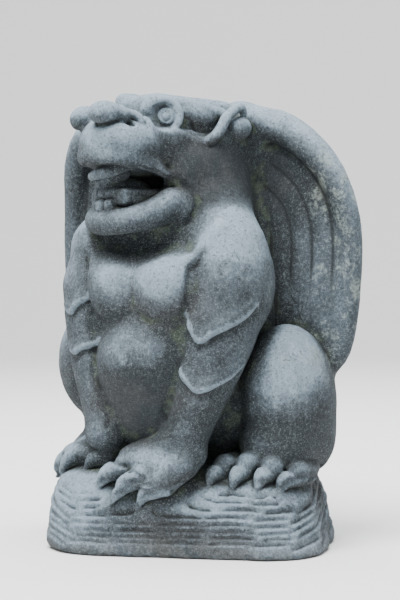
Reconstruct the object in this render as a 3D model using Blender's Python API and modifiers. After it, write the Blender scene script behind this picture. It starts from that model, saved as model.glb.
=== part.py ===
"""Carved stone gargoyle, sitting on the rough block it is cut from.

The creature and its block are one stone. It faces -Y, its own left is +X and +Z is up, and it rests
on the flat underside of the block. Sizes below are millimetres. The finished stone is in metres, with
its origin in the middle of the underside of its box.
"""
import math

import bmesh
import bpy
from mathutils import Matrix, Vector

MM = 0.001

# ---- driving sizes, millimetres ----
BLOCK_CENTRE = (18, -28)
BLOCK_HALF = (155, 112)
BLOCK_CORNER = 66
BLOCK_TURN = 19            # degrees, the block stands askew under the creature
HEAD_TURN = 25             # degrees to the creature's right
HEAD_FOOT = (-5, -48)      # where the head's own axes stand, between the eyes
WING_BACK = 43             # the wings' back face lies in this plane

VOXEL_BODY = 3.4
VOXEL_FINE = 2.4
FLESH_SMOOTHING = 12
BODY_SMOOTHING = 3
FACE_TARGET = 9400
SHARP_ANGLE = 40           # degrees

STONE_COLOUR = (0.155, 0.178, 0.192, 1.0)
STONE_ROUGHNESS = 0.88

LEFT, RIGHT = 1, -1


def clear_scene():
    """Empties the scene without closing the file."""
    for item in list(bpy.data.objects):
        bpy.data.objects.remove(item, do_unlink=True)


def new_collection(name):
    """Makes a collection in the scene."""
    collection = bpy.data.collections.new(name)
    bpy.context.scene.collection.children.link(collection)
    return collection


def side(point, hand):
    """Mirrors a point of the creature's left to the hand that is asked for."""
    return (point[0] * hand, point[1], point[2])


def turn(axis, degrees):
    """A rotation about one of the axes 'X', 'Y' or 'Z'."""
    return Matrix.Rotation(math.radians(degrees), 4, axis)


HEAD = Matrix.Translation((*HEAD_FOOT, 0)) @ turn('Z', -HEAD_TURN) @ Matrix.Diagonal((1, -1, 1, 1))


def head_point(lateral, forward, height):
    """A point given by its place on the turned head, in the creature's axes."""
    return tuple(HEAD @ Vector((lateral, forward, height)))


class Mould:
    """Collects closed solids and fuses them into one body."""

    def __init__(self):
        self.mesh = bmesh.new()

    def take(self, part):
        """Adds one closed bmesh to the heap."""
        scratch = bpy.data.meshes.new("scratch")
        part.to_mesh(scratch)
        part.free()
        self.mesh.from_mesh(scratch)
        bpy.data.meshes.remove(scratch)

    def ball(self, centre, radii, tilt=None, head=False):
        """Adds an ellipsoid, in the creature's axes or in the head's."""
        place = Matrix.Translation(centre) @ (tilt or Matrix()) @ Matrix.Diagonal((*radii, 1))
        part = bmesh.new()
        bmesh.ops.create_uvsphere(part, u_segments=32, v_segments=20, radius=1.0)
        bmesh.ops.transform(part, matrix=(HEAD @ place) if head else place, verts=part.verts)
        bmesh.ops.recalc_face_normals(part, faces=part.faces)
        self.take(part)

    def slab(self, centre, half, round_edge, tilt=None, head=False):
        """Adds a box with rounded edges."""
        place = Matrix.Translation(centre) @ (tilt or Matrix())
        part = bmesh.new()
        bmesh.ops.create_cube(part, size=2.0, matrix=Matrix.Diagonal((*half, 1)))
        bmesh.ops.bevel(part, geom=part.edges[:], offset=round_edge, segments=5, profile=0.5, affect='EDGES')
        bmesh.ops.transform(part, matrix=(HEAD @ place) if head else place, verts=part.verts)
        bmesh.ops.recalc_face_normals(part, faces=part.faces)
        self.take(part)

    def limb(self, points, radii, flatten=1.0, head=False):
        """Adds a round limb along a smooth curve, with a ball at each end; flatten squashes its height."""
        if isinstance(radii, (int, float)):
            radii = [radii] * len(points)
        if head:
            points = [head_point(*point) for point in points]
        curve = bpy.data.curves.new("limb", 'CURVE')
        curve.dimensions = '3D'
        curve.bevel_depth = 1.0
        curve.bevel_resolution = 5
        curve.resolution_u = 6
        curve.use_fill_caps = True
        spline = curve.splines.new('BEZIER')
        spline.bezier_points.add(len(points) - 1)
        for knot, point, radius in zip(spline.bezier_points, points, radii):
            knot.co = point
            knot.radius = radius
            knot.handle_left_type = knot.handle_right_type = 'AUTO'
        holder = bpy.data.objects.new("limb", curve)
        bpy.context.scene.collection.objects.link(holder)
        solid = bpy.data.meshes.new_from_object(holder.evaluated_get(bpy.context.evaluated_depsgraph_get()))
        part = bmesh.new()
        part.from_mesh(solid)
        bmesh.ops.remove_doubles(part, verts=part.verts, dist=0.0001)
        bpy.data.objects.remove(holder)
        bpy.data.curves.remove(curve)
        bpy.data.meshes.remove(solid)
        middle = sum(point[2] for point in points) / len(points)
        squash = Matrix.Translation((0, 0, middle)) @ Matrix.Diagonal((1, 1, flatten, 1))
        squash = squash @ Matrix.Translation((0, 0, -middle))
        bmesh.ops.transform(part, matrix=squash, verts=part.verts)
        bmesh.ops.recalc_face_normals(part, faces=part.faces)
        self.take(part)
        for point, radius in ((points[0], radii[0]), (points[-1], radii[-1])):
            height = middle + (point[2] - middle) * flatten
            self.ball((point[0], point[1], height), (radius, radius, radius * flatten))

    def plate(self, outline, front, back):
        """Adds a flat plate with the given outline in X and Z, between two planes of Y."""
        curve = bpy.data.curves.new("plate", 'CURVE')
        curve.dimensions = '2D'
        curve.fill_mode = 'BOTH'
        curve.extrude = (back - front) / 2
        spline = curve.splines.new('POLY')
        spline.points.add(len(outline) - 1)
        for knot, (across, up) in zip(spline.points, outline):
            knot.co = (across, up, 0, 1)
        spline.use_cyclic_u = True
        holder = bpy.data.objects.new("plate", curve)
        bpy.context.scene.collection.objects.link(holder)
        solid = bpy.data.meshes.new_from_object(holder.evaluated_get(bpy.context.evaluated_depsgraph_get()))
        part = bmesh.new()
        part.from_mesh(solid)
        bmesh.ops.remove_doubles(part, verts=part.verts, dist=0.0001)
        bpy.data.objects.remove(holder)
        bpy.data.curves.remove(curve)
        bpy.data.meshes.remove(solid)
        stand = Matrix.Translation((0, (front + back) / 2, 0)) @ turn('X', 90)
        bmesh.ops.transform(part, matrix=stand, verts=part.verts)
        bmesh.ops.recalc_face_normals(part, faces=part.faces)
        self.take(part)

    def loft(self, rings):
        """Adds a closed solid through level rings that have the same number of points."""
        part = bmesh.new()
        rows = [[part.verts.new(point) for point in ring] for ring in rings]
        count = len(rows[0])
        for lower, upper in zip(rows, rows[1:]):
            for index in range(count):
                after = (index + 1) % count
                part.faces.new((lower[index], lower[after], upper[after], upper[index]))
        part.faces.new(rows[0])
        part.faces.new(rows[-1])
        bmesh.ops.recalc_face_normals(part, faces=part.faces)
        self.take(part)

    def add(self, item):
        """Adds a finished object's mesh and removes the object."""
        self.mesh.from_mesh(item.data)
        bpy.data.objects.remove(item, do_unlink=True)

    def fuse(self, name, voxel, smoothing):
        """Fuses the heap to one skin by voxels, softens it and gives it back as an object."""
        mesh = bpy.data.meshes.new(name)
        self.mesh.to_mesh(mesh)
        self.mesh.free()
        item = bpy.data.objects.new(name, mesh)
        bpy.context.scene.collection.objects.link(item)
        remesh = item.modifiers.new("one skin", 'REMESH')
        remesh.mode = 'VOXEL'
        remesh.voxel_size = voxel
        soften = item.modifiers.new("soften", 'SMOOTH')
        soften.factor = 0.5
        soften.iterations = smoothing
        bake(item)
        return item


def bake(item):
    """Applies an object's modifiers to its mesh."""
    bpy.context.view_layer.update()
    solid = bpy.data.meshes.new_from_object(item.evaluated_get(bpy.context.evaluated_depsgraph_get()))
    item.modifiers.clear()
    item.data = solid


BLOCK_LEVELS = (           # height, inset all round, batter of the front: level by level
    (-12, 3, 0), (4, 3, 0), (14, 1, 1), (30, 0, 4), (50, 0, 11), (66, 2, 20), (78, 9, 30),
    (86, 22, 44), (92, 42, 60), (96, 75, 80),
)
BLOCK_STEPS = 96
BLOCK_CORNER_GIVE = 40     # the corners stay round while the rings shrink by more than this


def block_rings():
    """Level rings of the rough block: battered sides, a rounded foot and a low mound on top."""
    askew = turn('Z', BLOCK_TURN)
    rings = []
    for height, inset, front_batter in BLOCK_LEVELS:
        ring = []
        corner = BLOCK_CORNER - min(inset, BLOCK_CORNER_GIVE)
        shrink = max(0.0, 1 - max(inset - BLOCK_CORNER_GIVE, 0) / 60)
        for step in range(BLOCK_STEPS):
            angle = 2 * math.pi * step / BLOCK_STEPS
            along = math.copysign(BLOCK_HALF[0] - BLOCK_CORNER, math.cos(angle))
            depth = math.copysign(BLOCK_HALF[1] - BLOCK_CORNER, math.sin(angle))
            across = (along + corner * math.cos(angle)) * shrink
            forward = (depth + corner * math.sin(angle)) * shrink
            forward += front_batter * min(1.0, max(-forward, 0) / BLOCK_HALF[1])
            across -= 0.5 * front_batter * max(across, 0) / BLOCK_HALF[0]
            place = askew @ Vector((across, forward, 0))
            ring.append((place.x + BLOCK_CENTRE[0], place.y + BLOCK_CENTRE[1], height))
        rings.append(ring)
    return rings


# centre and half sizes: belly, paunch, chest, waist, throat, back, flanks, rump, shoulders, neck, nape
TRUNK_MASSES = (
    ((0, -54, 186), (77, 74, 92)),
    ((-2, -74, 206), (64, 66, 58)),
    ((0, -48, 290), (90, 74, 74)),
    ((0, -56, 245), (72, 66, 48)),
    ((0, -54, 328), (62, 44, 38)),
    ((0, 12, 235), (98, 42, 150)),
    ((0, 0, 160), (116, 56, 85)),
    ((0, 22, 150), (104, 42, 80)),
    ((0, 26, 340), (88, 24, 132)),
    ((6, -18, 372), (75, 61, 83)),
    ((2, -4, 425), (67, 46, 63)),
)
NECK_CORD = ((22, -20, 396), (46, -34, 364), (78, -54, 325))
CHEST_MUSCLE = ((32, -98, 284), (39, 34, 46))
CHEST_TURN = 14
CHEST_LEAN = 6
CHIN_HOLLOW = ((8, -130, 334), (60, 44, 24))


def trunk(mould):
    """Belly, chest, back and flanks, with the neck and the root of the wings."""
    for centre, half in TRUNK_MASSES:
        mould.ball(centre, half)
    for hand in (LEFT, RIGHT):
        mould.limb([side(point, hand) for point in NECK_CORD], (39, 41, 41))
        mould.ball(side(CHEST_MUSCLE[0], hand), CHEST_MUSCLE[1],
                   turn('Z', CHEST_TURN * hand) @ turn('X', CHEST_LEAN))


def chin_cutter():
    """The hollow between the jaw and the chest."""
    mould = Mould()
    mould.ball(*CHIN_HOLLOW)
    return mould.fuse("chin hollow", VOXEL_BODY, 1)


WING_EDGE = {
    LEFT: ((40, 22, 474), (74, 20, 467), (108, 19, 459), (139, 20, 437), (161, 23, 407), (176, 27, 370),
           (182, 30, 335), (182, 31, 295), (179, 31, 255), (173, 31, 215), (162, 30, 188)),
    RIGHT: ((40, 22, 474), (80, 20, 474), (120, 18, 471), (152, 17, 456), (168, 20, 424), (174, 26, 380),
            (177, 28, 335), (176, 29, 295), (173, 29, 255), (168, 29, 215), (158, 28, 188)),
}
WING_EDGE_RADII = (16, 18, 18, 17, 15.5, 14, 13, 13, 12.5, 12, 9)
WING_FOOT = ((105, 200), (55, 215), (20, 300), (20, 470))
WING_HINGE = 200           # height the flutes shrink towards
WING_FLUTE_PITCH = 25
WING_FLUTES = 4
WING_WEB_FRONT = 26


def wing(mould, hand):
    """One folded wing: a rolled leading edge, a thin web behind it and flutes that follow the edge."""
    edge = WING_EDGE[hand]
    mould.limb([side(point, hand) for point in edge], WING_EDGE_RADII)
    outline = [(point[0] * hand, point[2]) for point in edge] + [(x * hand, z) for x, z in WING_FOOT]
    mould.plate(outline, WING_WEB_FRONT, WING_BACK)
    for flute in range(1, WING_FLUTES + 1):
        inset = WING_FLUTE_PITCH * flute
        shrink = 1 - inset / 175
        lower = 1 - inset / 330
        for face, radius in ((WING_WEB_FRONT, 6), (WING_BACK - 2, 5)):
            rib = [side((x * shrink + 8, face, WING_HINGE + (z - WING_HINGE) * lower), hand)
                   for x, _, z in edge[1:]]
            mould.limb(rib, radius)


CLAW_ARCH = Vector((0, -3, 5))
TOE_LENGTH = Vector((-4, 30, -2))
HAUNCH_MASSES = {
    LEFT: (((122.5, 1, 163), (50, 59, 80), 12), ((132, 20, 118), (34, 37, 42), 0),
           ((118, -16, 114), (43, 41, 36), 0)),
    RIGHT: (((-119, -2, 193), (46.5, 56, 68), 16), ((-108, 14, 124), (39, 39, 52), 0)),
}
HIND_FOOT = ((116, 12, 98), (116, -14, 96), (108, -45, 90))
HIND_TOES = (              # knuckle and claw tip
    ((82, -69, 91), (75, -94, 73)),
    ((106, -62, 93), (100, -88, 70)),
    ((130, -52, 91), (124, -78, 69)),
    ((151, -35, 85), (143, -66, 65)),
)
RIGHT_FOOT_SHIFT = Vector((-27, 3, 11))   # the right hind foot stands nearer the middle and higher


def haunch(mould, hand):
    """The folded thigh of a hind leg and its long foot."""
    for centre, half, lean in HAUNCH_MASSES[hand]:
        mould.ball(centre, half, turn('X', lean))
    mould.limb([side(point, hand) for point in HIND_FOOT], (26, 26, 21))


def hind_toes(mould, hand):
    """Four clawed toes in front of a hind foot."""
    shift = RIGHT_FOOT_SHIFT if hand == RIGHT else Vector()
    for knuckle, tip in HIND_TOES:
        knuckle = Vector(knuckle) + shift
        tip = Vector(tip) + shift
        root = knuckle + TOE_LENGTH
        toe(mould, side(root, hand), side(knuckle, hand), side(tip, hand), (15, 14))


def toe(mould, root, knuckle, tip, radii):
    """A toe from its root to the knuckle, and its curved claw."""
    knuckle = Vector(knuckle)
    tip = Vector(tip)
    bend = knuckle * 0.44 + tip * 0.56 + CLAW_ARCH
    mould.limb((root, knuckle), radii)
    mould.limb((knuckle, bend, tip), (0.92 * radii[1], 0.7 * radii[1], 3))


ARM_LINE = ((82, -64, 280), (76, -72, 240), (68, -82, 200), (59, -90, 165), (52, -98, 130))
ARM_RADII = (45, 42, 36.5, 31, 23.5)
SHOULDERS = {
    LEFT: ((84, -58, 292), (45, 50, 66)),
    RIGHT: ((-78, -58, 290), (42, 46, 62)),
}
SHOULDER_LEAN = 6
RIGHT_ARM_IN = 6
CUFFS = {                  # the knots of each raised chevron, from the belly side outwards
    LEFT: (
        ((58, -108, 252), (71, -115, 233), (80, -115, 228), (94, -110, 237), (106, -101, 244),
         (117, -88, 254), (124, -78, 265)),
        ((48, -117, 201), (63, -120, 181), (84, -113, 181), (96, -103, 190), (107, -81, 201)),
    ),
    RIGHT: (
        ((-55, -104, 279), (-65, -109, 273), (-79, -111, 265), (-89, -110, 255), (-100, -101, 259)),
        ((-46, -112, 226), (-56, -115, 221), (-68, -117, 218), (-80, -115, 212), (-90, -105, 214)),
    ),
}
CUFF_RADIUS = 4.5


def arm(mould, hand):
    """A straight foreleg with the full muscle of its upper part."""
    centre, half = SHOULDERS[hand]
    mould.ball(centre, half, turn('Y', -SHOULDER_LEAN * hand))
    shift = RIGHT_ARM_IN if hand == RIGHT else 0
    mould.limb([side((x - shift, y, z), hand) for x, y, z in ARM_LINE], ARM_RADII)


def cuffs(mould, hand):
    """Two raised chevron bands round the front of an arm."""
    for band in CUFFS[hand]:
        mould.limb(band, CUFF_RADIUS)


LEFT_WRIST = ((52, -98, 130), (34, -104, 108), (4, -110, 99))
LEFT_PALM = ((22, -110, 97), (46, 25, 18), 8)
LEFT_PAW_SLOPE = ((54, -100, 108), (46, -116, 90), (28, -127, 74))
LEFT_FINGERS = (((-12, -122, 90), (-37, -137, 68)), ((16, -128, 84), (-18, -141, 53)),
                ((40, -121, 76), (10, -133, 50)))
LEFT_FINGER_ROOT = (24, -102, 98)
RIGHT_WRIST = ((-47, -98, 138), (-48, -98, 124))
RIGHT_PALM = ((-70, -84, 101), (44, 27, 14), -3)
RIGHT_FINGERS = (((-106, -79, 95), (-124, -90, 66)), ((-82, -95, 98), (-104, -108, 76)),
                 ((-46, -101, 98), (-67, -113, 84)))
RIGHT_FINGER_ROOT = (-64, -80, 102)


def palms(mould):
    """The backs of both front paws."""
    mould.limb(LEFT_WRIST, (23, 24, 18))
    mould.limb(LEFT_PAW_SLOPE, (21, 17, 14))
    mould.limb(RIGHT_WRIST, (24, 25))
    for centre, half, lean in (LEFT_PALM, RIGHT_PALM):
        mould.ball(centre, half, turn('Y', lean))


def fingers(mould):
    """The clawed fingers of both front paws, turned towards the creature's right."""
    for knuckle, tip in LEFT_FINGERS:
        toe(mould, LEFT_FINGER_ROOT, knuckle, tip, (18, 13))
    for knuckle, tip in RIGHT_FINGERS:
        toe(mould, RIGHT_FINGER_ROOT, knuckle, tip, (15, 12))


# lateral, forward and height on the head; the lateral size is mirrored where a hand is given
BROWS = {
    LEFT: ((22, 42, 476), (34, 32, 480), (40, 8, 480), (43, -14, 477), (45, -40, 471)),
    RIGHT: ((20, 36, 480), (33, 33, 488), (39, 12, 485), (43, -14, 480), (46, -44, 471)),
}
JAW_RIM = ((-42, 20, 380), (-40, 46, 366), (-30, 68, 356), (0, 77, 352), (30, 68, 354), (41, 47, 361),
           (43, 20, 375))
JAW_RIM_RADII = (16, 15, 14.5, 14, 14, 15.5, 18)
LIP = ((-40, 42, 412), (-38, 62, 416.5), (-32, 82, 420), (-18, 93, 422), (0, 97, 423), (18, 93, 421.5),
       (33, 83, 420), (38, 62, 416.5), (40, 42, 412), (41, 26, 404))
LIP_RADII = (6.5, 7.5, 7.5, 7, 6.5, 7, 7.5, 8, 7.5, 5.5)
CHEEK_RIDGE = ((36, 50, 462), (42, 34, 454), (45, 10, 446), (48, -10, 441))
NOSTRIL = ((30, 76, 468), (35, 64, 466), (39, 57, 459), (39, 60, 451), (37, 69, 449))


def skull(mould):
    """The turned head: cranium, flat brow, blunt muzzle with two nostril lobes, cheeks and jaw."""
    mould.ball((0, -15, 448), (47, 72, 41), head=True)
    mould.ball((0, -20, 466), (46, 66, 25), head=True)
    mould.ball((0, -46, 446), (52, 52, 34), head=True)
    mould.slab((0, -15, 473), (38, 57, 17), 16, turn('X', 2), head=True)
    mould.slab((0, 44, 441), (32, 50, 26), 18, head=True)
    mould.ball((0, 50, 436), (47, 54, 32), head=True)
    mould.ball((13, 70, 440), (38, 34, 24), head=True)
    mould.ball((-24, 87, 464), (17, 18, 14.5), head=True)
    mould.ball((24, 92, 467), (16, 20, 13), head=True)
    mould.ball((28, 77, 466), (11.5, 15, 10.5), turn('X', 10), head=True)
    mould.limb(LIP, LIP_RADII, head=True)
    for hand in (LEFT, RIGHT):
        mould.limb([side(point, hand) for point in BROWS[hand]], (8, 8.5, 8, 8.5, 10), head=True)
        mould.limb([side(point, hand) for point in CHEEK_RIDGE], (4, 5.5, 6, 5), head=True)
        mould.limb([side(point, hand) for point in NOSTRIL], (5.5, 5, 4.2, 3.8, 3), head=True)
        mould.ball((39 * hand, -16, 467), (14.5, 31, 12.5), turn('X', 12), head=True)
        mould.ball((38 * hand, -20, 412), (27, 41, 36), head=True)
        mould.ball((34 * hand, 30, 438), (17, 33, 23), head=True)
        mould.ball((46 * hand, 5, 367), (17.5, 24, 24.5), head=True)
    mould.limb(JAW_RIM, JAW_RIM_RADII, head=True)
    mould.ball((0, 28, 362), (41, 51, 19), head=True)
    mould.ball((0, -16, 366), (49, 51, 31), head=True)


EAR_RIM = ((47, -3, 436), (52, -13, 438), (55, -24, 443), (57, -33, 453), (57, -41, 466), (56, -52, 475),
           (55, -62, 479), (54, -67, 473))
EAR_RIM_RADII = (4, 5.6, 6.2, 6.2, 5.8, 5.4, 5.2, 4.2)
EAR_LOBE = ((52, -63, 457), (10.5, 14.5, 12.5))
GUM = ((-36, 46, 402), (-33, 62, 402), (-24, 78, 402), (-8, 88, 402.5), (7, 88, 404), (18, 80, 407),
       (27, 67, 412), (33, 50, 415))
GUM_RADII = (4, 4, 4.5, 5, 6, 6.5, 5, 3.5)
UPPER_ROW = ((-35, 60, 383), (-22, 71, 383), (-4, 75, 383), (13, 72, 383))
LOWER_ROW = ((-31, 5.5), (-19, 6.5), (-5, 7), (10, 6))   # place across and half width of each tooth
TOOTH_TURN = 0.012         # how far the row falls back, per square of the place across
TUSK = ((-22, 72, 388), (-12, 74, 395), (4, 71, 400), (16, 62, 403))
EYE_MIDDLE = (36, 23)
EYE_HEIGHTS = {LEFT: 466, RIGHT: 478}
EYE_DOME = (7, 15.5, 15.5)             # half sizes: outwards, sideways, upwards
EYE_SOCKET = (15, 18, 17)
EYE_SOCKET_OUT = 13
EYE_RINGS = ((15.8, 2.6, 3.4), (7.6, 7.0, 2.2))   # radius, how far out, radius of its section
EYE_FACING = 53            # degrees between straight ahead and the way an eye looks


def eye_axes(hand):
    """The middle of an eye, the way it looks and the sideways axis."""
    centre = Vector((EYE_MIDDLE[0] * hand, EYE_MIDDLE[1], EYE_HEIGHTS[hand]))
    angle = math.radians(EYE_FACING)
    outward = Vector((math.sin(angle) * hand, math.cos(angle), 0))
    return centre, outward, Vector((outward.y, -outward.x, 0))


def eye_turn(outward):
    """The rotation that brings the first axis of a ball to the way an eye looks."""
    return turn('Z', math.degrees(math.atan2(outward.y, outward.x)))


def sockets_cutter():
    """The two hollows in which the eyes lie."""
    mould = Mould()
    for hand in (LEFT, RIGHT):
        centre, outward, _ = eye_axes(hand)
        mould.ball(centre + outward * EYE_SOCKET_OUT, EYE_SOCKET, eye_turn(outward), head=True)
    return mould.fuse("eye sockets", VOXEL_FINE, 1)


def eye(mould, hand):
    """A bulging eye with two raised rings."""
    centre, outward, across = eye_axes(hand)
    mould.ball(centre, EYE_DOME, eye_turn(outward), head=True)
    for radius, out, section in EYE_RINGS:
        ring = []
        for step in range(13):
            angle = 2 * math.pi * step / 12
            spoke = across * math.cos(angle) + Vector((0, 0, 1)) * math.sin(angle)
            ring.append(tuple(centre + outward * out + spoke * radius))
        mould.limb(ring, section, head=True)


def features(mould):
    """Eyes, ears, gum, tongue, tusk and the two rows of teeth."""
    mould.limb(GUM, GUM_RADII, head=True)
    mould.slab((0, 36, 379), (34, 40, 9), 5, head=True)
    mould.ball((-6, 50, 388), (26, 30, 14), head=True)
    mould.limb(TUSK, (5, 6.5, 6.5, 5), head=True)
    mould.limb(UPPER_ROW, 6.5, head=True)
    for across, half in LOWER_ROW:
        forward = 78.5 - TOOTH_TURN * across ** 2
        mould.slab((across + 1, forward, 370), (half, 7, 6.8), 4.5, head=True)
    for hand in (LEFT, RIGHT):
        eye(mould, hand)
        mould.limb([side(point, hand) for point in EAR_RIM], EAR_RIM_RADII, head=True)
        mould.ball(side(EAR_LOBE[0], hand), EAR_LOBE[1], head=True)


MOUTH_HOLLOW = ((0, 112, 395), (0, 60, 395), (0, 32, 395))
MOUTH_CORNER = ((30, 100, 397), (45, 58, 396), (47, 28, 396))


def mouth_cutter():
    """The open mouth: a flat hollow that runs back to the corners of the lips."""
    mould = Mould()
    mould.limb(MOUTH_HOLLOW, (35, 35, 28), flatten=0.44, head=True)
    for hand in (LEFT, RIGHT):
        mould.limb([side(point, hand) for point in MOUTH_CORNER], (12, 10, 3.5), head=True)
    return mould.fuse("mouth hollow", VOXEL_FINE, 1)


GROUND = (600, 600, 60)    # the box below the ground


def underside_cutter():
    """A box whose top is the ground."""
    mesh = bpy.data.meshes.new("ground cut")
    part = bmesh.new()
    bmesh.ops.create_cube(part, size=1.0)
    place = Matrix.Translation((0, 0, -GROUND[2] / 2)) @ Matrix.Diagonal((*GROUND, 1))
    bmesh.ops.transform(part, matrix=place, verts=part.verts)
    part.to_mesh(mesh)
    part.free()
    cutter = bpy.data.objects.new("ground cut", mesh)
    bpy.context.scene.collection.objects.link(cutter)
    return cutter


def cut(item, cutter, cutters):
    """Cuts one object out of another and keeps the cutter as a hidden guide."""
    for old in list(cutter.users_collection):
        old.objects.unlink(cutter)
    cutters.objects.link(cutter)
    boolean = item.modifiers.new("cut", 'BOOLEAN')
    boolean.operation = 'DIFFERENCE'
    boolean.solver = 'EXACT'
    boolean.object = cutter
    bake(item)
    cutter.hide_render = True
    cutter.display_type = 'WIRE'


def stone_material():
    """Plain grey-blue stone."""
    material = bpy.data.materials.new("weathered stone")
    material.use_nodes = True
    shader = material.node_tree.nodes["Principled BSDF"]
    shader.inputs["Base Color"].default_value = STONE_COLOUR
    shader.inputs["Roughness"].default_value = STONE_ROUGHNESS
    shader.inputs["Metallic"].default_value = 0.0
    return material


def thin_faces(item, target):
    """Brings the triangles down to the target."""
    count = sum(len(face.vertices) - 2 for face in item.data.polygons)
    thin = item.modifiers.new("thin", 'DECIMATE')
    thin.ratio = min(1.0, target / count)
    thin.use_collapse_triangulate = True
    bake(item)


def to_metres(item, guides):
    """Scales the stone and its guides to metres, the origin in the middle of the stone's underside."""
    corners = [Vector(corner) for corner in item.bound_box]
    low = Vector(map(min, zip(*corners)))
    high = Vector(map(max, zip(*corners)))
    foot = Vector(((low.x + high.x) / 2, (low.y + high.y) / 2, 0))
    for mesh in {item.data, *(guide.data for guide in guides)}:
        mesh.transform(Matrix.Scale(MM, 4) @ Matrix.Translation(-foot))


def main():
    """Builds the creature on its block and leaves it as one object."""
    clear_scene()
    stones = new_collection("gargoyle")
    cutters = new_collection("cutters")

    flesh = Mould()
    trunk(flesh)
    for hand in (LEFT, RIGHT):
        haunch(flesh, hand)
        arm(flesh, hand)
    palms(flesh)

    soft_body = flesh.fuse("flesh", VOXEL_BODY, FLESH_SMOOTHING)
    cut(soft_body, chin_cutter(), cutters)

    body = Mould()
    body.add(soft_body)
    body.loft(block_rings())
    for hand in (LEFT, RIGHT):
        wing(body, hand)
        hind_toes(body, hand)
        cuffs(body, hand)
    fingers(body)
    skull(body)
    gargoyle = body.fuse("gargoyle", VOXEL_FINE, BODY_SMOOTHING)
    cut(gargoyle, mouth_cutter(), cutters)
    cut(gargoyle, sockets_cutter(), cutters)

    details = Mould()
    details.add(gargoyle)
    features(details)
    gargoyle = details.fuse("gargoyle", VOXEL_FINE, 1)

    thin_faces(gargoyle, FACE_TARGET)
    cut(gargoyle, underside_cutter(), cutters)
    to_metres(gargoyle, cutters.objects)
    bpy.context.scene.collection.objects.unlink(gargoyle)
    stones.objects.link(gargoyle)
    gargoyle.data.materials.clear()
    gargoyle.data.materials.append(stone_material())
    gargoyle.data.shade_smooth()
    gargoyle.data.set_sharp_from_angle(angle=math.radians(SHARP_ANGLE))


main()
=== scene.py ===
"""The looks of the carved stone gargoyle: its sculpted stone, the finish and a plain studio.

The stone is sculpted as clay: a grid that knows how far every point is from the surface. Forms are
added and carved with soft joints, details are drawn on the skin, and the skin is then taken off as a
mesh. Sculpting sizes are millimetres in the creature's own axes: it faces -Y, its left is +X, +Z is
up, and the ground is at 0. The finished piece is in metres and fills the box of the solid.
"""
from __future__ import annotations

import logging
import math
from abc import ABC, abstractmethod
from collections.abc import Sequence
from dataclasses import dataclass, field, replace
from enum import Enum
from itertools import product

import bmesh
import bpy
import numpy as np
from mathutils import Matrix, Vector


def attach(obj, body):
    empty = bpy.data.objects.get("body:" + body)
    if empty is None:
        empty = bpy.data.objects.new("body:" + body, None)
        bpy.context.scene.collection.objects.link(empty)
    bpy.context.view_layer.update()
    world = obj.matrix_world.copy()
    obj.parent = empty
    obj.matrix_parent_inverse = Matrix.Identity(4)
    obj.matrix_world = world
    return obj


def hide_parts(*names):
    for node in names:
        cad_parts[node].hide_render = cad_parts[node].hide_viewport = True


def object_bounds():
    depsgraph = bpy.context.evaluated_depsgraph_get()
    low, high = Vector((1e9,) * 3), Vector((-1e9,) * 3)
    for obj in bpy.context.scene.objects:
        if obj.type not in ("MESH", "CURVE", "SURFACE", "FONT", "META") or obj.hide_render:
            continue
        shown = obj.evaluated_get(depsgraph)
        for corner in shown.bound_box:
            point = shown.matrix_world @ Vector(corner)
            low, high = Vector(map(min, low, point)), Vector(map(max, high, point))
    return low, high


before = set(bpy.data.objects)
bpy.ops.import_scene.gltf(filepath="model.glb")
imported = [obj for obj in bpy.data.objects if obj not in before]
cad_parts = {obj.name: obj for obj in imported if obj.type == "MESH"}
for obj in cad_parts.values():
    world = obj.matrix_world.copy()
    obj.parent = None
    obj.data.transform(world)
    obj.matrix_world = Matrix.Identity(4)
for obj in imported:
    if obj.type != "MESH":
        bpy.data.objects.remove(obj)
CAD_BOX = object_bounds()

Array = np.ndarray
Point = tuple[float, float, float]

MM = 0.001
log = logging.getLogger("gargoyle")

# ---------------------------------------------------------------- clay


class Hand(Enum):
    """The creature's two sides, by the sign of X."""

    LEFT = 1
    RIGHT = -1

    def of(self, point: Sequence[float]) -> Point:
        """Takes a point of the creature's left to this side."""
        return (point[0] * self.value, *point[1:])


def turned(axis: Point, degrees: float) -> Array:
    """Makes a rotation matrix.

    Args:
        axis: the axis to turn about.
        degrees: the angle.

    Returns:
        The 3 by 3 matrix.
    """
    unit = np.asarray(axis, float) / np.linalg.norm(axis)
    angle = math.radians(degrees)
    cross = np.array([[0, -unit[2], unit[1]], [unit[2], 0, -unit[0]], [-unit[1], unit[0], 0]])
    return np.eye(3) + math.sin(angle) * cross + (1 - math.cos(angle)) * cross @ cross


def facing(direction: Sequence[float]) -> Array:
    """Makes axes whose first one points along a direction and whose second one is level.

    Args:
        direction: where the first axis points.

    Returns:
        The 3 by 3 matrix with the axes as columns.
    """
    first = np.asarray(direction, float) / np.linalg.norm(direction)
    second = np.cross((0.0, 0.0, 1.0), first)
    second /= np.linalg.norm(second)
    return np.stack([first, second, np.cross(first, second)], axis=1)


def smooth_curve(knots: Sequence[Point], radii: Sequence[float], runs: int) -> tuple[Array, Array]:
    """Runs a smooth curve through knots and eases the radii along it.

    Args:
        knots: the points that the curve passes through.
        radii: the radius at each knot.
        runs: straight runs between two knots.

    Returns:
        The curve's points and the radius at each.
    """
    rows = np.column_stack([np.asarray(knots, float), np.asarray(radii, float)])
    rows = np.vstack([2 * rows[0] - rows[1], rows, 2 * rows[-1] - rows[-2]])
    curve = []
    for before, start, end, after in zip(rows, rows[1:], rows[2:], rows[3:]):
        for share in np.arange(runs) / runs:
            curve.append(0.5 * (2 * start + (end - before) * share
                                + (2 * before - 5 * start + 4 * end - after) * share ** 2
                                + (3 * start - before - 3 * end + after) * share ** 3))
    curve.append(rows[-2])
    table = np.array(curve)
    return table[:, :3], np.maximum(table[:, 3], 0.3)


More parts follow.
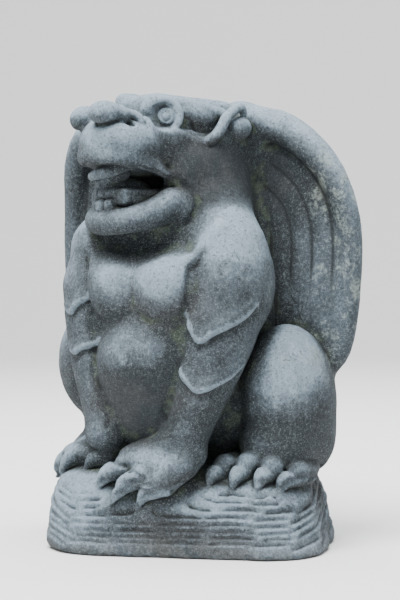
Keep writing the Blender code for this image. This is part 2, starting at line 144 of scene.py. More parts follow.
def soft_least(first: Array, second: Array, blend: float) -> Array:
    """Gives the lesser of two fields, with a fillet where they are equal.

    Args:
        first: the first field.
        second: the second field.
        blend: about how wide the fillet is.

    Returns:
        The lesser.
    """
    if blend <= 0:
        return np.minimum(first, second)
    near = np.maximum(blend - np.abs(first - second), 0.0)
    return np.minimum(first, second) - near * near / (4 * blend)


def soft_most(first: Array, second: Array, blend: float) -> Array:
    """Gives the greater of two fields, with a soft edge where they are equal."""
    return -soft_least(-first, -second, blend)


def corners(centre: Point, extent: Array | float) -> tuple[Array, Array]:
    """Gives the corners of a box round a centre, from its half size on each axis."""
    return np.asarray(centre) - extent, np.asarray(centre) + extent


def along_axes(x: Array, y: Array, z: Array, centre: Point, axes: Array) -> list[Array]:
    """Gives how far points lie along each of three axes through a centre."""
    x, y, z = x - centre[0], y - centre[1], z - centre[2]
    return [x * column[0] + y * column[1] + z * column[2] for column in axes.T]


class Form(ABC):
    """A shape that knows how far points are from its surface, less than zero inside."""

    @abstractmethod
    def reach(self) -> tuple[Array, Array]:
        """Gives the lowest and highest corners of the form."""

    @abstractmethod
    def distance(self, x: Array, y: Array, z: Array) -> Array:
        """Measures the distance of points from the form's surface.

        Args:
            x: the points' X.
            y: their Y.
            z: their Z.

        Returns:
            The distances.
        """


@dataclass(eq=False)
class Egg(Form):
    """An ellipsoid, turned by its axes."""

    centre: Point
    half: Point
    axes: Array = field(default_factory=lambda: np.eye(3))

    def reach(self) -> tuple[Array, Array]:
        """Gives the lowest and highest corners."""
        extent = np.sqrt(((self.axes * np.asarray(self.half)) ** 2).sum(axis=1))
        return corners(self.centre, extent)

    def distance(self, x: Array, y: Array, z: Array) -> Array:
        """Measures the distance of points from the egg.

        Args:
            x: the points' X.
            y: their Y.
            z: their Z.

        Returns:
            The distances.
        """
        scaled, steep = 0.0, 1e-9
        for along, half in zip(along_axes(x, y, z, self.centre, self.axes), self.half):
            scaled = scaled + (along / half) ** 2
            steep = steep + (along / half ** 2) ** 2
        scaled = np.sqrt(scaled)
        return scaled * (scaled - 1) / np.sqrt(steep)


@dataclass(eq=False)
class Bar(Form):
    """A box with round edges, turned by its axes."""

    centre: Point
    half: Point
    edge: float
    axes: Array = field(default_factory=lambda: np.eye(3))

    def reach(self) -> tuple[Array, Array]:
        """Gives the lowest and highest corners."""
        extent = (np.abs(self.axes) * np.asarray(self.half)).sum(axis=1)
        return corners(self.centre, extent)

    def distance(self, x: Array, y: Array, z: Array) -> Array:
        """Measures the distance of points from the bar.

        Args:
            x: the points' X.
            y: their Y.
            z: their Z.

        Returns:
            The distances.
        """
        past = [np.abs(along) - (half - self.edge)
                for along, half in zip(along_axes(x, y, z, self.centre, self.axes), self.half)]
        outside = np.sqrt(sum(np.maximum(part, 0) ** 2 for part in past))
        inside = np.minimum(np.maximum(np.maximum(past[0], past[1]), past[2]), 0)
        return outside + inside - self.edge


@dataclass(eq=False)
class Limb(Form):
    """A round limb along a smooth curve; flatness below 1 squashes the section's height."""

    knots: Sequence[Point]
    radii: Sequence[float] | float
    flatness: float = 1.0
    runs: int = 5

    def __post_init__(self) -> None:
        """Works out the curve."""
        radii = np.broadcast_to(np.asarray(self.radii, float), (len(self.knots),))
        self.spine, self.girth = smooth_curve(self.knots, radii, self.runs)

    def reach(self) -> tuple[Array, Array]:
        """Gives the lowest and highest corners."""
        return ((self.spine - self.girth[:, None]).min(axis=0),
                (self.spine + self.girth[:, None]).max(axis=0))

    def distance(self, x: Array, y: Array, z: Array) -> Array:
        """Measures the distance of points from the limb.

        Args:
            x: the points' X.
            y: their Y.
            z: their Z.

        Returns:
            The distances.
        """
        nearest = None
        for start, end, thick, thin in zip(self.spine, self.spine[1:], self.girth, self.girth[1:]):
            run = end - start
            x0, y0, z0 = x - start[0], y - start[1], z - start[2]
            share = np.clip((x0 * run[0] + y0 * run[1] + z0 * run[2]) / (run @ run), 0, 1)
            x0, y0 = x0 - run[0] * share, y0 - run[1] * share
            z0 = (z0 - run[2] * share) / self.flatness
            gap = np.sqrt(x0 * x0 + y0 * y0 + z0 * z0) - (thick + (thin - thick) * share)
            nearest = gap if nearest is None else np.minimum(nearest, gap)
        return nearest


@dataclass(eq=False)
class Hoop(Form):
    """A ring with a round section."""

    centre: Point
    normal: Sequence[float]
    radius: float
    section: float

    def reach(self) -> tuple[Array, Array]:
        """Gives the lowest and highest corners."""
        extent = self.radius + self.section
        return corners(self.centre, extent)

    def distance(self, x: Array, y: Array, z: Array) -> Array:
        """Measures the distance of points from the ring.

        Args:
            x: the points' X.
            y: their Y.
            z: their Z.

        Returns:
            The distances.
        """
        normal = np.asarray(self.normal, float) / np.linalg.norm(self.normal)
        x, y, z = x - self.centre[0], y - self.centre[1], z - self.centre[2]
        height = x * normal[0] + y * normal[1] + z * normal[2]
        across = np.sqrt(np.maximum(x * x + y * y + z * z - height * height, 0)) - self.radius
        return np.sqrt(across * across + height * height) - self.section


def read_grid(grid: Array, origin: Array, step: float, points: Array) -> Array:
    """Reads a grid of numbers at points, between the grid's own points.

    Args:
        grid: the numbers.
        origin: the place of the grid's first point.
        step: the distance between the grid's points.
        points: rows of X, Y and Z.

    Returns:
        One number for each row.
    """
    place = np.clip((np.asarray(points) - origin) / step, 0, np.array(grid.shape) - 1.001)
    cell = place.astype(int)
    share = place - cell
    total = np.zeros(len(place))
    for corner in np.ndindex(2, 2, 2):
        weight = np.prod(np.where(corner, share, 1 - share), axis=1)
        total += weight * grid[tuple((cell + corner).T)]
    return total


@dataclass(eq=False)
class Clay:
    """A grid of distances to the surface of what has been modelled so far.

    Points settle on the skin in some rounds, each of which takes them an eased share of the way.
    """

    low: Point
    high: Point
    step: float
    margin: float = 10.0
    empty: float = 60.0
    rounds: int = 14
    ease: float = 0.7
    line_runs: int = 4

    def __post_init__(self) -> None:
        """Starts with nothing modelled."""
        self.origin = np.asarray(self.low, float)
        self.size = np.ceil((np.asarray(self.high) - self.origin) / self.step).astype(int) + 1
        self.field = np.full(self.size, self.empty, np.float32)
        self.ruler = [(self.origin[axis] + self.step * np.arange(self.size[axis])).astype(np.float32)
                      for axis in range(3)]

    def window(self, form: Form, margin: float) -> tuple[tuple[slice, ...], list[Array]]:
        """Finds the part of the grid round a form.

        Args:
            form: the form.
            margin: how far past its corners the part goes.

        Returns:
            The slices of the grid and its X, Y and Z there.
        """
        low, high = form.reach()
        first = np.clip(np.floor((low - margin - self.origin) / self.step).astype(int), 0, self.size)
        last = np.clip(np.ceil((high + margin - self.origin) / self.step).astype(int) + 1, 0, self.size)
        slices = tuple(slice(*pair) for pair in zip(first, last))
        shapes = ((-1, 1, 1), (1, -1, 1), (1, 1, -1))
        return slices, [self.ruler[axis][slices[axis]].reshape(shapes[axis]) for axis in range(3)]

    def add(self, form: Form, blend: float = 0.0) -> None:
        """Adds a form with a fillet."""
        slices, place = self.window(form, blend + 3 * self.step + self.margin)
        self.field[slices] = soft_least(self.field[slices], form.distance(*place), blend)

    def carve(self, form: Form, blend: float = 0.0) -> None:
        """Takes a form away with a soft edge."""
        slices, place = self.window(form, blend + 3 * self.step)
        self.field[slices] = soft_most(self.field[slices], -form.distance(*place), blend)

    def sample(self, points: Array) -> Array:
        """Reads the distance at points."""
        return read_grid(self.field, self.origin, self.step, points)

    def slope(self, points: Array, reach: float | None = None) -> Array:
        """Finds the way out of the clay at points.

        Args:
            points: rows of X, Y and Z.
            reach: half the distance between the two readings on each axis.

        Returns:
            One unit vector for each row.
        """
        reach = reach or self.step
        rows = [self.sample(points + reach * axis) - self.sample(points - reach * axis)
                for axis in np.eye(3)]
        slope = np.stack(rows, axis=1)
        return slope / (np.linalg.norm(slope, axis=1, keepdims=True) + 1e-9)

    def settle(self, points: Array) -> tuple[Array, Array]:
        """Moves points to the nearest skin.

        Args:
            points: rows of X, Y and Z, near the skin.

        Returns:
            The points on the skin and the way out at each.
        """
        points = np.array(points, float)
        for _ in range(self.rounds):
            points -= self.ease * self.sample(points)[:, None] * self.slope(points)
        return points, self.slope(points, 2 * self.step)

    def drawn(self, knots: Sequence[Point], radii: Sequence[float] | float, sunk: float) -> Limb:
        """Lays a limb along a curve on the skin.

        Args:
            knots: points of the curve, near the skin.
            radii: its radius at each knot, or one for all.
            sunk: how deep its middle lies below the skin, in parts of its radius.

        Returns:
            The limb.
        """
        radii = np.broadcast_to(np.asarray(radii, float), (len(knots),))
        spine, girth = smooth_curve(knots, radii, self.line_runs)
        skin, outward = self.settle(spine)
        return Limb([tuple(row) for row in skin - outward * (sunk * girth)[:, None]], list(girth), runs=1)

    def lay(self, rows: Sequence[Mass | Cord], *sides: Side) -> None:
        """Adds forms one after another, on each side in turn, or as they stand without a side."""
        for side, row in product(sides or (Side(),), rows):
            self.add(row.form(side), row.blend)

    def hollow(self, rows: Sequence[Mass | Cord], *sides: Side) -> None:
        """Takes forms away one after another, on each side in turn, or as they stand."""
        for side, row in product(sides or (Side(),), rows):
            self.carve(row.form(side), row.blend)

    def draw(self, strokes: Sequence[Stroke], *sides: Side) -> None:
        """Draws lines on the skin one after another, on each side in turn.

        Args:
            strokes: the lines, as if on the left.
            sides: where they are drawn; without any, as they stand.
        """
        for side, stroke in product(sides or (Side(),), strokes):
            sunk = 1 - stroke.depth if stroke.raised else stroke.depth - 1
            change = self.add if stroke.raised else self.carve
            change(self.drawn(side.line(stroke.knots), stroke.radii, sunk), stroke.blend)

    def skin(self) -> tuple[Array, Array]:
        """Takes the surface off the clay: one point in each cell that it crosses, four to a face.

        Returns:
            The points, and rows of four point numbers.
        """
        inside = self.field < 0
        count = np.zeros(self.size - 1, np.uint8)
        corners = list(np.ndindex(2, 2, 2))
        for corner in corners:
            count += inside[tuple(slice(c, s - 1 + c) for c, s in zip(corner, self.size))]
        cells = np.argwhere((count > 0) & (count < 8))
        number = np.full(self.size - 1, -1, np.int32)
        number[tuple(cells.T)] = np.arange(len(cells))
        value = {corner: self.field[tuple((cells + corner).T)] for corner in corners}
        total = np.zeros((len(cells), 3), np.float32)
        crossings = np.zeros(len(cells), np.float32)
        for corner in corners:
            for axis in range(3):
                if corner[axis]:
                    continue
                other = tuple(1 if index == axis else c for index, c in enumerate(corner))
                crosses = (value[corner] < 0) != (value[other] < 0)
                fall = np.where(crosses, value[corner] - value[other], 1)
                share = np.where(crosses, value[corner] / fall, 0)
                for index in range(3):
                    total[:, index] += np.where(crosses, corner[index] + (share if index == axis else 0), 0)
                crossings += crosses
        points = (cells + total / crossings[:, None]) * self.step + self.origin
        faces = [self._faces_across(inside, number, axis) for axis in range(3)]
        return points, np.concatenate(faces)

    def _faces_across(self, inside: Array, number: Array, axis: int) -> Array:
        """Makes the faces that are crossed by the grid's lines along one axis.

        Args:
            inside: which grid points are in the clay.
            number: each cell's point number.
            axis: the axis.

        Returns:
            Rows of four point numbers, facing outwards.
        """
        first, second = [(1, 2), (2, 0), (0, 1)][axis]
        before = [slice(None)] * 3
        after = [slice(None)] * 3
        before[axis], after[axis] = slice(0, -1), slice(1, None)
        edges = np.argwhere(inside[tuple(before)] != inside[tuple(after)])
        for side in (first, second):
            edges = edges[(edges[:, side] > 0) & (edges[:, side] < self.size[side] - 1)]
        around = []
        for back_first, back_second in ((1, 1), (0, 1), (0, 0), (1, 0)):
            cell = edges.copy()
            cell[:, first] -= back_first
            cell[:, second] -= back_second
            around.append(number[tuple(cell.T)])
        faces = np.stack(around, axis=1)
        outside = ~inside[tuple(edges.T)]
        faces[outside] = faces[outside][:, ::-1]
        return faces


# ---------------------------------------------------------------- what the carving is laid out with


@dataclass(frozen=True)
class Side:
    """The axes on which forms are laid: one side of the creature or of its head.

    Sizes are given as if on the left; the right is its mirror image.
    """

    hand: Hand = Hand.LEFT
    foot: Point = (0, 0, 0)
    axes: Array = field(default_factory=lambda: np.eye(3))

    def at(self, point: Sequence[float]) -> Point:
        """Gives a point in the creature's axes."""
        return tuple(np.asarray(self.foot) + self.axes @ self.hand.of(point))

    def line(self, knots: Sequence[Point]) -> list[Point]:
        """Gives the points of a line in the creature's axes."""
        return [self.at(knot) for knot in knots]

    def turned(self, axes: Array) -> Array:
        """Gives a form's axes in the creature's axes."""
        mirror = (self.hand.value, 1, 1)
        return self.axes @ (axes * np.outer(mirror, mirror))


SIDES = tuple(Side(hand) for hand in Hand)
LEFT, RIGHT = SIDES


@dataclass(frozen=True)
class Mass:
    """An egg, or a box where it has a round edge, and how softly it joins."""

    centre: Point
    half: Point
    blend: float
    axes: Array = field(default_factory=lambda: np.eye(3))
    edge: float = 0.0

    def form(self, side: Side) -> Form:
        """Makes the form on a side."""
        place, axes = side.at(self.centre), side.turned(self.axes)
        return Bar(place, self.half, self.edge, axes) if self.edge else Egg(place, self.half, axes)


@dataclass(frozen=True)
class Cord:
    """A limb along a curve, and how softly it joins."""

    knots: Sequence[Point]
    radii: Sequence[float] | float
    blend: float
    flatness: float = 1.0
    runs: int = 5

    def form(self, side: Side) -> Form:
        """Makes the form on a side."""
        return Limb(side.line(self.knots), self.radii, self.flatness, self.runs)


@dataclass(frozen=True)
class Stroke:
    """A line on the skin, a groove or a raised ridge; depth is in parts of its radius."""

    knots: Sequence[Point]
    radii: Sequence[float] | float
    blend: float
    depth: float
    raised: bool = False


class Part(ABC):
    """A part of the carving: its forms are modelled first, then its lines are drawn."""

    @abstractmethod
    def model(self, clay: Clay) -> None:
        """Adds the part's forms to the clay."""

    def dress(self, clay: Clay) -> None:
        """Draws the part's lines on the clay, where it has any."""


# ---------------------------------------------------------------- the creature and its block


@dataclass(eq=False)
class Block(Form, Part):
    """The rough block: battered sides, a round mound on top and rows of chisel strokes.

    Its right side is the one towards the creature's left. Its foot is rounded by a share of foot_round
    on that side and at the front, and ripples lightly. The upper rows of strokes are loose: some
    strokes are missing. The strokes of the lowest and highest rows are shallower, by end_rows. A
    stroke's cut and scoop are sized in parts of its own radius, and the spreads are those of chance.
    """

    centre: tuple[float, float] = (18, -28)
    half: tuple[float, float] = (155, 112)
    corner: float = 66
    askew: float = 19
    shoulder: float = 82
    top_round: float = 34
    mound: float = 16
    mound_half: tuple[float, float] = (110, 85)
    mound_back: float = 2
    right_batter: float = 15
    left_batter: float = 4
    front_batter: float = 26
    front_bow: float = 1.3
    back_batter: float = 14
    batter_height: float = 70
    batter_most: float = 1.4
    foot_round: float = 7
    foot_height: float = 22
    right_foot: float = 0.15
    front_foot: float = 0.3
    ground_round: float = 6
    ripple: float = 1.1
    ripple_top: float = 26
    ripple_fade: float = 20
    ripple_lengths: tuple[float, float, float] = (9, 8, 31)
    columns: int = 19
    rows: Sequence[float] = (15.0, 21.5, 28.5, 36.5, 45.5, 55.0, 65.0, 75.0)
    loose_rows: int = 6
    missing: float = 0.25
    stroke: float = 2.7
    end_rows: float = 0.8
    girths: Sequence[float] = (0.5, 0.85, 1, 1, 1.05, 1, 1, 0.85, 0.5)
    cut_depth: float = 0.5
    cut_girth: float = 0.8
    scoop_out: float = 1.5
    scoop_above: float = 2.4
    scoop_girth: float = 2.1
    bow: float = 1.8
    slant: float = 0.20
    slant_from: float = 95
    slant_over: float = 50
    slant_spread: float = 0.04
    column_offset: float = 0.25
    column_spread: float = 1.8
    row_spread: float = 0.16
    starts: tuple[float, float] = (-0.10, 0.04)
    ends: tuple[float, float] = (0.92, 1.06)
    depths: tuple[float, float] = (0.7, 1.1)
    waver: float = 0.3
    seed: int = 11
    extent_share: float = 0.78
    below: float = 6
    above: float = 20

    def reach(self) -> tuple[Array, Array]:
        """Gives the lowest and highest corners.

        Returns:
            The two corners.
        """
        extent = sum(self.half) * self.extent_share
        middle = np.array((*self.centre, 0.0))
        top = self.shoulder + self.mound + self.above
        return middle - (extent, extent, self.below), middle + (extent, extent, top)

    def distance(self, x: Array, y: Array, z: Array) -> Array:
        """Measures the distance of points from the block.

        Args:
            x: the points' X.
            y: their Y.
            z: their Z.

        Returns:
            The distances.
        """
        angle = math.radians(self.askew)
        across = (x - self.centre[0]) * math.cos(angle) + (y - self.centre[1]) * math.sin(angle)
        along = (y - self.centre[1]) * math.cos(angle) - (x - self.centre[0]) * math.sin(angle)
        rise = np.clip(z / self.batter_height, 0, self.batter_most)
        foot = self.foot_round * np.clip((self.foot_height - z) / self.foot_height, 0, 1) ** 2
        side = np.where(across > 0, self.right_batter * rise + self.right_foot * foot,
                        self.left_batter * rise + foot)
        front = np.where(along < 0, self.front_batter * rise ** self.front_bow, self.back_batter * rise)
        front = front + self.front_foot * foot
        past_side = np.abs(across) - (self.half[0] - side - self.corner)
        past_front = np.abs(along) - (self.half[1] - front - self.corner)
        outside = np.sqrt(np.maximum(past_side, 0) ** 2 + np.maximum(past_front, 0) ** 2)
        wall = outside + np.minimum(np.maximum(past_side, past_front), 0) - self.corner
        wide, deep, skewed = self.ripple_lengths
        ripple = self.ripple * np.clip((self.ripple_top - z) / self.ripple_fade, 0, 1)
        wall = wall + ripple * np.sin(across / wide) * np.sin(along / deep + across / skewed)
        broad, long = self.mound_half
        hump = np.exp(-(across / broad) ** 2 - ((along + self.mound_back) / long) ** 2)
        top = z - (self.shoulder + self.mound * hump)
        return soft_most(soft_most(wall, top, self.top_round), -z + 0 * wall, self.ground_round)

    def outline(self, way: float) -> tuple[float, float]:
        """Finds a place on the foot's outline.

        Args:
            way: length round the outline from the middle of the front, negative to the right hand.

        Returns:
            The place in the creature's axes.
        """
        flat_side, flat_front = self.half[0] - self.corner, self.half[1] - self.corner
        bend = self.corner * math.pi / 2
        half_way = 2 * (flat_side + flat_front + bend)
        length = abs(way)
        front = -1.0 if length < half_way / 2 else 1.0
        length = min(length, half_way - length)
        angle = min(max((length - flat_side) / self.corner, 0.0), math.pi / 2)
        across = min(length, flat_side) + self.corner * math.sin(angle)
        along = flat_front + self.corner * math.cos(angle) - max(length - flat_side - bend, 0.0)
        across, along = math.copysign(across, way), front * along
        turn = math.radians(self.askew)
        return (self.centre[0] + across * math.cos(turn) - along * math.sin(turn),
                self.centre[1] + across * math.sin(turn) + along * math.cos(turn))

    def model(self, clay: Clay) -> None:
        """Adds the block."""
        clay.add(self)

    def strokes(self) -> tuple[Array, list[Array]]:
        """Works out the rows of chisel strokes all round.

        Returns:
            The points along each stroke, near the skin, and its radii there.
        """
        chance = np.random.default_rng(self.seed)
        half_way = 2 * (sum(self.half) - 2 * self.corner) + math.pi * self.corner
        width = 2 * half_way / self.columns
        spines, radii = [], []
        phases = chance.uniform(-self.row_spread, self.row_spread, len(self.rows))
        for column in range(self.columns):
            start = -half_way + (column + self.column_offset) * width
            middle = start + width / 2
            aside = np.clip((abs(middle) - self.slant_from) / self.slant_over, 0, 1)
            slant = self.slant * aside * np.sign(middle)
            slant += chance.uniform(-self.slant_spread, self.slant_spread)
            shift = chance.uniform(-self.column_spread, self.column_spread)
            for row, height in enumerate(self.rows):
                if row >= self.loose_rows and chance.random() < self.missing:
                    continue
                first = start + (phases[row] + chance.uniform(*self.starts)) * width
                last = start + (phases[row] + chance.uniform(*self.ends)) * width
                depth = self.stroke * (self.end_rows if row in (0, len(self.rows) - 1) else 1.0)
                depth *= chance.uniform(*self.depths)
                spine = []
                for share in np.linspace(0, 1, len(self.girths)):
                    bow = self.bow * math.sin(math.pi * share)
                    level = height + shift + slant * (share - 0.5) * width + bow
                    level += chance.uniform(-self.waver, self.waver)
                    spine.append((*self.outline(first + share * (last - first)), level))
                spines.append(spine)
                radii.append(depth * np.array(self.girths))
        return np.array(spines), radii

    def dress(self, clay: Clay) -> None:
        """Cuts the chisel strokes, each a narrow cut under a wide shallow scoop.

        Args:
            clay: the clay.
        """
        spines, radii = self.strokes()
        skin, outward = clay.settle(spines.reshape(-1, 3))
        for spine, out, girth in zip(skin.reshape(spines.shape), outward.reshape(spines.shape), radii):
            below = spine - self.cut_depth * out * girth[:, None]
            above = spine + out * (self.scoop_out * girth[:, None]) + (0, 0, self.scoop_above)
            clay.carve(Limb(list(below), list(self.cut_girth * girth), runs=1), blend=1.0)
            clay.carve(Limb(list(above), list(self.scoop_girth * girth), runs=1), blend=4)


@dataclass
class Trunk(Part):
    """Belly, chest, back, flanks and neck."""

    masses: Sequence[Mass] = (
        Mass((0, -54, 186), (77, 74, 92), 10),
        Mass((-2, -74, 206), (64, 66, 58), 8),
        Mass((0, -48, 290), (90, 74, 74), 14),
        Mass((0, -56, 245), (72, 66, 48), 12),
        Mass((0, 12, 235), (98, 42, 150), 20),
        Mass((0, 0, 160), (116, 56, 85), 14),
        Mass((0, 24, 150), (104, 42, 80), 14),
        Mass((0, 26, 340), (88, 24, 132), 14),
    )
    neck_cord: Cord = Cord(((22, -20, 396), (46, -34, 364), (78, -54, 325)), (38, 40, 40), 20)
    throat: Mass = Mass((0, -54, 328), (62, 44, 38), 20)
    breast: Mass = Mass((32, -99, 284), (38, 33, 45), 11, turned((0, 0, 1), 14) @ turned((1, 0, 0), 6))
    nape: Sequence[Mass] = (Mass((6, -18, 372), (74, 60, 82), 18), Mass((2, -4, 425), (66, 46, 62), 18))
    under_chin: Mass = Mass((8, -130, 335), (58, 42, 21), 26)
    middle_line: Stroke = Stroke(((0, -124, 296), (0, -126, 276), (0, -126, 258)), (1, 2, 2.5), 2.5, 0.3)
    creases: Sequence[Stroke] = (
        Stroke(((4, -128, 256), (22, -126, 247), (44, -118, 248), (60, -104, 257)), (3, 4, 4, 3), 3, 0.6),
        Stroke(((76, -100, 322), (66, -112, 304), (62, -114, 282), (57, -110, 262)), (3, 4.5, 5, 4), 3, 0.6),
        Stroke(((58, -113, 258), (60, -114, 245), (56, -113, 227), (54, -116, 207), (51, -118, 186),
                (43, -117, 165), (35, -114, 147), (36, -116, 132)), (3, 3.5, 4, 4, 4.5, 5, 5, 3), 3, 0.7),
        Stroke(((88, -86, 346), (70, -102, 324), (60, -112, 312)), (4, 7, 4), 8, 0.3, raised=True),
    )

    def model(self, clay: Clay) -> None:
        """Adds the masses and hollows the front of the neck.

        Args:
            clay: the clay.
        """
        clay.lay(self.masses)
        clay.lay((self.neck_cord,), *SIDES)
        clay.lay((self.throat,))
        clay.lay((self.breast,), *SIDES)
        clay.lay(self.nape)
        clay.hollow((self.under_chin,))

    def dress(self, clay: Clay) -> None:
        """Draws the creases of chest and neck."""
        clay.draw((self.middle_line,))
        clay.draw(self.creases, *SIDES)


@dataclass
class HindLeg(Part):
    """A folded thigh, its long foot and four clawed toes."""

    side: Side
    thigh: Sequence[Mass]
    toe_shift: Point = (0, 0, 0)
    foot: Cord = Cord(((116, 12, 98), (116, -14, 96), (108, -45, 90)), (26, 26, 21), 8)
    toes: Sequence[tuple[Point, Point]] = (
        ((82, -69, 91), (75, -94, 73)),
        ((106, -62, 93), (100, -88, 70)),
        ((130, -52, 91), (124, -78, 69)),
        ((151, -35, 85), (143, -66, 65)),
    )
    toe_length: Point = (-4, 30, -2)
    toe_radii: Sequence[float] = (15, 14)
    claw_share: float = 0.58
    claw_radii: Sequence[float] = (10.5, 8.6, 2.0)
    fold_ahead: float = 12
    fold: Sequence[Point] = ((-11, -3, 3), (-1, -7, 10), (10, -3, 3))

    def model(self, clay: Clay) -> None:
        """Adds the thigh, the foot and the toes.

        Args:
            clay: the clay.
        """
        clay.lay((*self.thigh, self.foot), self.side)
        for knuckle, tip in self.shifted_toes():
            arch = (1 - self.claw_share) * knuckle + self.claw_share * tip + (0, -3, 5)
            clay.lay((Cord((knuckle + self.toe_length, knuckle), self.toe_radii, 4, runs=1),
                      Cord((knuckle + (0, -6, -4), arch, tip), self.claw_radii, 1)), self.side)

    def shifted_toes(self) -> list[tuple[Array, Array]]:
        """Gives the knuckle and the tip of each toe."""
        return [tuple(np.add(toe, self.toe_shift)) for toe in self.toes]

    def dress(self, clay: Clay) -> None:
        """Draws the fold between each knuckle and its claw.

        Args:
            clay: the clay.
        """
        for knuckle, tip in self.shifted_toes():
            ahead = (tip - knuckle) / np.linalg.norm(tip - knuckle)
            knots = knuckle + self.fold_ahead * ahead + self.fold
            clay.draw((Stroke(knots, (1.8, 2.6, 1.8), 1.2, 0.7),), self.side)


HIND_LEGS = (
    HindLeg(LEFT, (Mass((122.5, 1, 163), (50, 59, 80), 5, turned((1, 0, 0), 12)),
                   Mass((132, 20, 118), (33, 36, 42), 12), Mass((118, -18, 112), (42, 40, 34), 12))),
    HindLeg(RIGHT, (Mass((119, -2, 193), (46.5, 56, 68), 5, turned((1, 0, 0), 16)),
                    Mass((108, 14, 120), (38, 38, 46), 12)), toe_shift=(-27, 3, 11)),
)


@dataclass
class Foreleg(Part):
    """A straight foreleg with the full muscle of its upper part and raised chevron cuffs."""

    side: Side
    shoulder: Mass
    cuffs: Sequence[Sequence[Point]]
    inward: float = 0.0
    line: Sequence[Point] = ((82, -64, 280), (76, -72, 240), (68, -82, 200), (59, -90, 165), (52, -98, 130))
    radii: Sequence[float] = (45, 42, 36.5, 31, 23.5)
    cuff_radius: float = 4.0
    first_end: float = 0.6
    last_end: float = 0.55
    swell: float = 5.5
    swell_above: float = 4.5
    dip: float = 5.0
    dip_below: float = 6.5

    def model(self, clay: Clay) -> None:
        """Adds the shoulder and the arm."""
        line = [(x - self.inward, y, z) for x, y, z in self.line]
        clay.lay((self.shoulder, Cord(line, self.radii, 5)), self.side)

    def dress(self, clay: Clay) -> None:
        """Raises each cuff between a swelling above it and a dip below it.

        Args:
            clay: the clay.
        """
        for band in self.cuffs:
            taper = np.array([self.first_end] + [1.0] * (len(band) - 2) + [self.last_end])
            above = np.add(band, (0, 0, self.swell_above))
            below = np.add(band[1:], (0, 0, -self.dip_below))
            clay.draw((Stroke(above, self.swell * taper, 7, 0.3, raised=True),
                       Stroke(below, self.dip, 5, 0.3),
                       Stroke(band, self.cuff_radius * taper, 1.5, 0.6, raised=True)), self.side)


FORELEGS = (
    Foreleg(LEFT, Mass((84, -58, 292), (45, 50, 66), 6, turned((0, 1, 0), -6)), (
        ((58, -108, 254), (66, -113, 241), (76, -116, 227), (91, -111, 236), (104, -102, 244),
         (117, -88, 254), (124, -78, 265)),
        ((54, -119, 197), (63, -121, 187), (76, -118, 175), (91, -106, 182), (100, -94, 190),
         (107, -78, 200)))),
    Foreleg(RIGHT, Mass((78, -58, 290), (42, 46, 62), 6, turned((0, 1, 0), -6)), (
        ((55, -104, 279), (65, -109, 273), (79, -111, 265), (89, -110, 255), (100, -101, 259)),
        ((46, -112, 226), (56, -115, 221), (68, -117, 218), (80, -115, 212), (90, -105, 214))), inward=6),
)


@dataclass
class FrontPaw(Part):
    """A front paw on the creature's own axes: wrist, back and clawed fingers."""

    back: Sequence[Mass | Cord]
    root: Point
    root_radius: float
    fingers: Sequence[tuple[Point, Point]]
    finger_radius: float
    crease: Stroke
    claw_arch: Point = (-1, -3, 5)
    claw_taper: Sequence[float] = (0.93, 0.72)
    claw_tip: float = 2.2

    def model(self, clay: Clay) -> None:
        """Adds the back of the paw and the fingers.

        Args:
            clay: the clay.
        """
        clay.lay(self.back)
        thick, thin = np.array(self.claw_taper) * self.finger_radius
        for knuckle, tip in self.fingers:
            claw = (knuckle, 0.5 * np.add(knuckle, tip) + self.claw_arch, tip)
            clay.lay((Cord((self.root, knuckle), (self.root_radius, self.finger_radius), 4, runs=1),
                      Cord(claw, (thick, thin, self.claw_tip), 2)))

    def dress(self, clay: Clay) -> None:
        """Draws the crease between the back of the paw and the fingers."""
        clay.draw((self.crease,))


FRONT_PAWS = (
    FrontPaw(
        back=(Cord(((52, -98, 130), (34, -104, 108), (4, -110, 99)), (23, 24, 18), 6),
              Mass((22, -110, 97), (46, 25, 18), 8, turned((0, 1, 0), 8)),
              Cord(((54, -100, 108), (46, -116, 90), (28, -127, 74)), (21, 17.5, 14), 6)),
        root=(24, -102, 98), root_radius=18, finger_radius=13,
        fingers=(((-12, -122, 90), (-37, -137, 68)), ((16, -128, 84), (-18, -141, 53)),
                 ((40, -121, 76), (10, -133, 50))),
        crease=Stroke(((-32, -120, 102), (-14, -134, 97), (8, -139, 90), (24, -141, 82)), (2, 3, 3, 2),
                      1.5, 0.8),
    ),
    FrontPaw(
        back=(Cord(((-47, -98, 138), (-48, -98, 124)), (24, 25), 6),
              Mass((-70, -84, 101), (44, 27, 14), 8, turned((0, 1, 0), -3))),
        root=(-64, -80, 102), root_radius=15, finger_radius=12,
        fingers=(((-106, -79, 95), (-124, -90, 66)), ((-82, -95, 98), (-104, -108, 76)),
                 ((-46, -101, 98), (-67, -113, 84))),
        crease=Stroke(((-98, -92, 110), (-74, -104, 112), (-50, -112, 110)), (2, 3, 2), 1.5, 0.8),
    ),
)


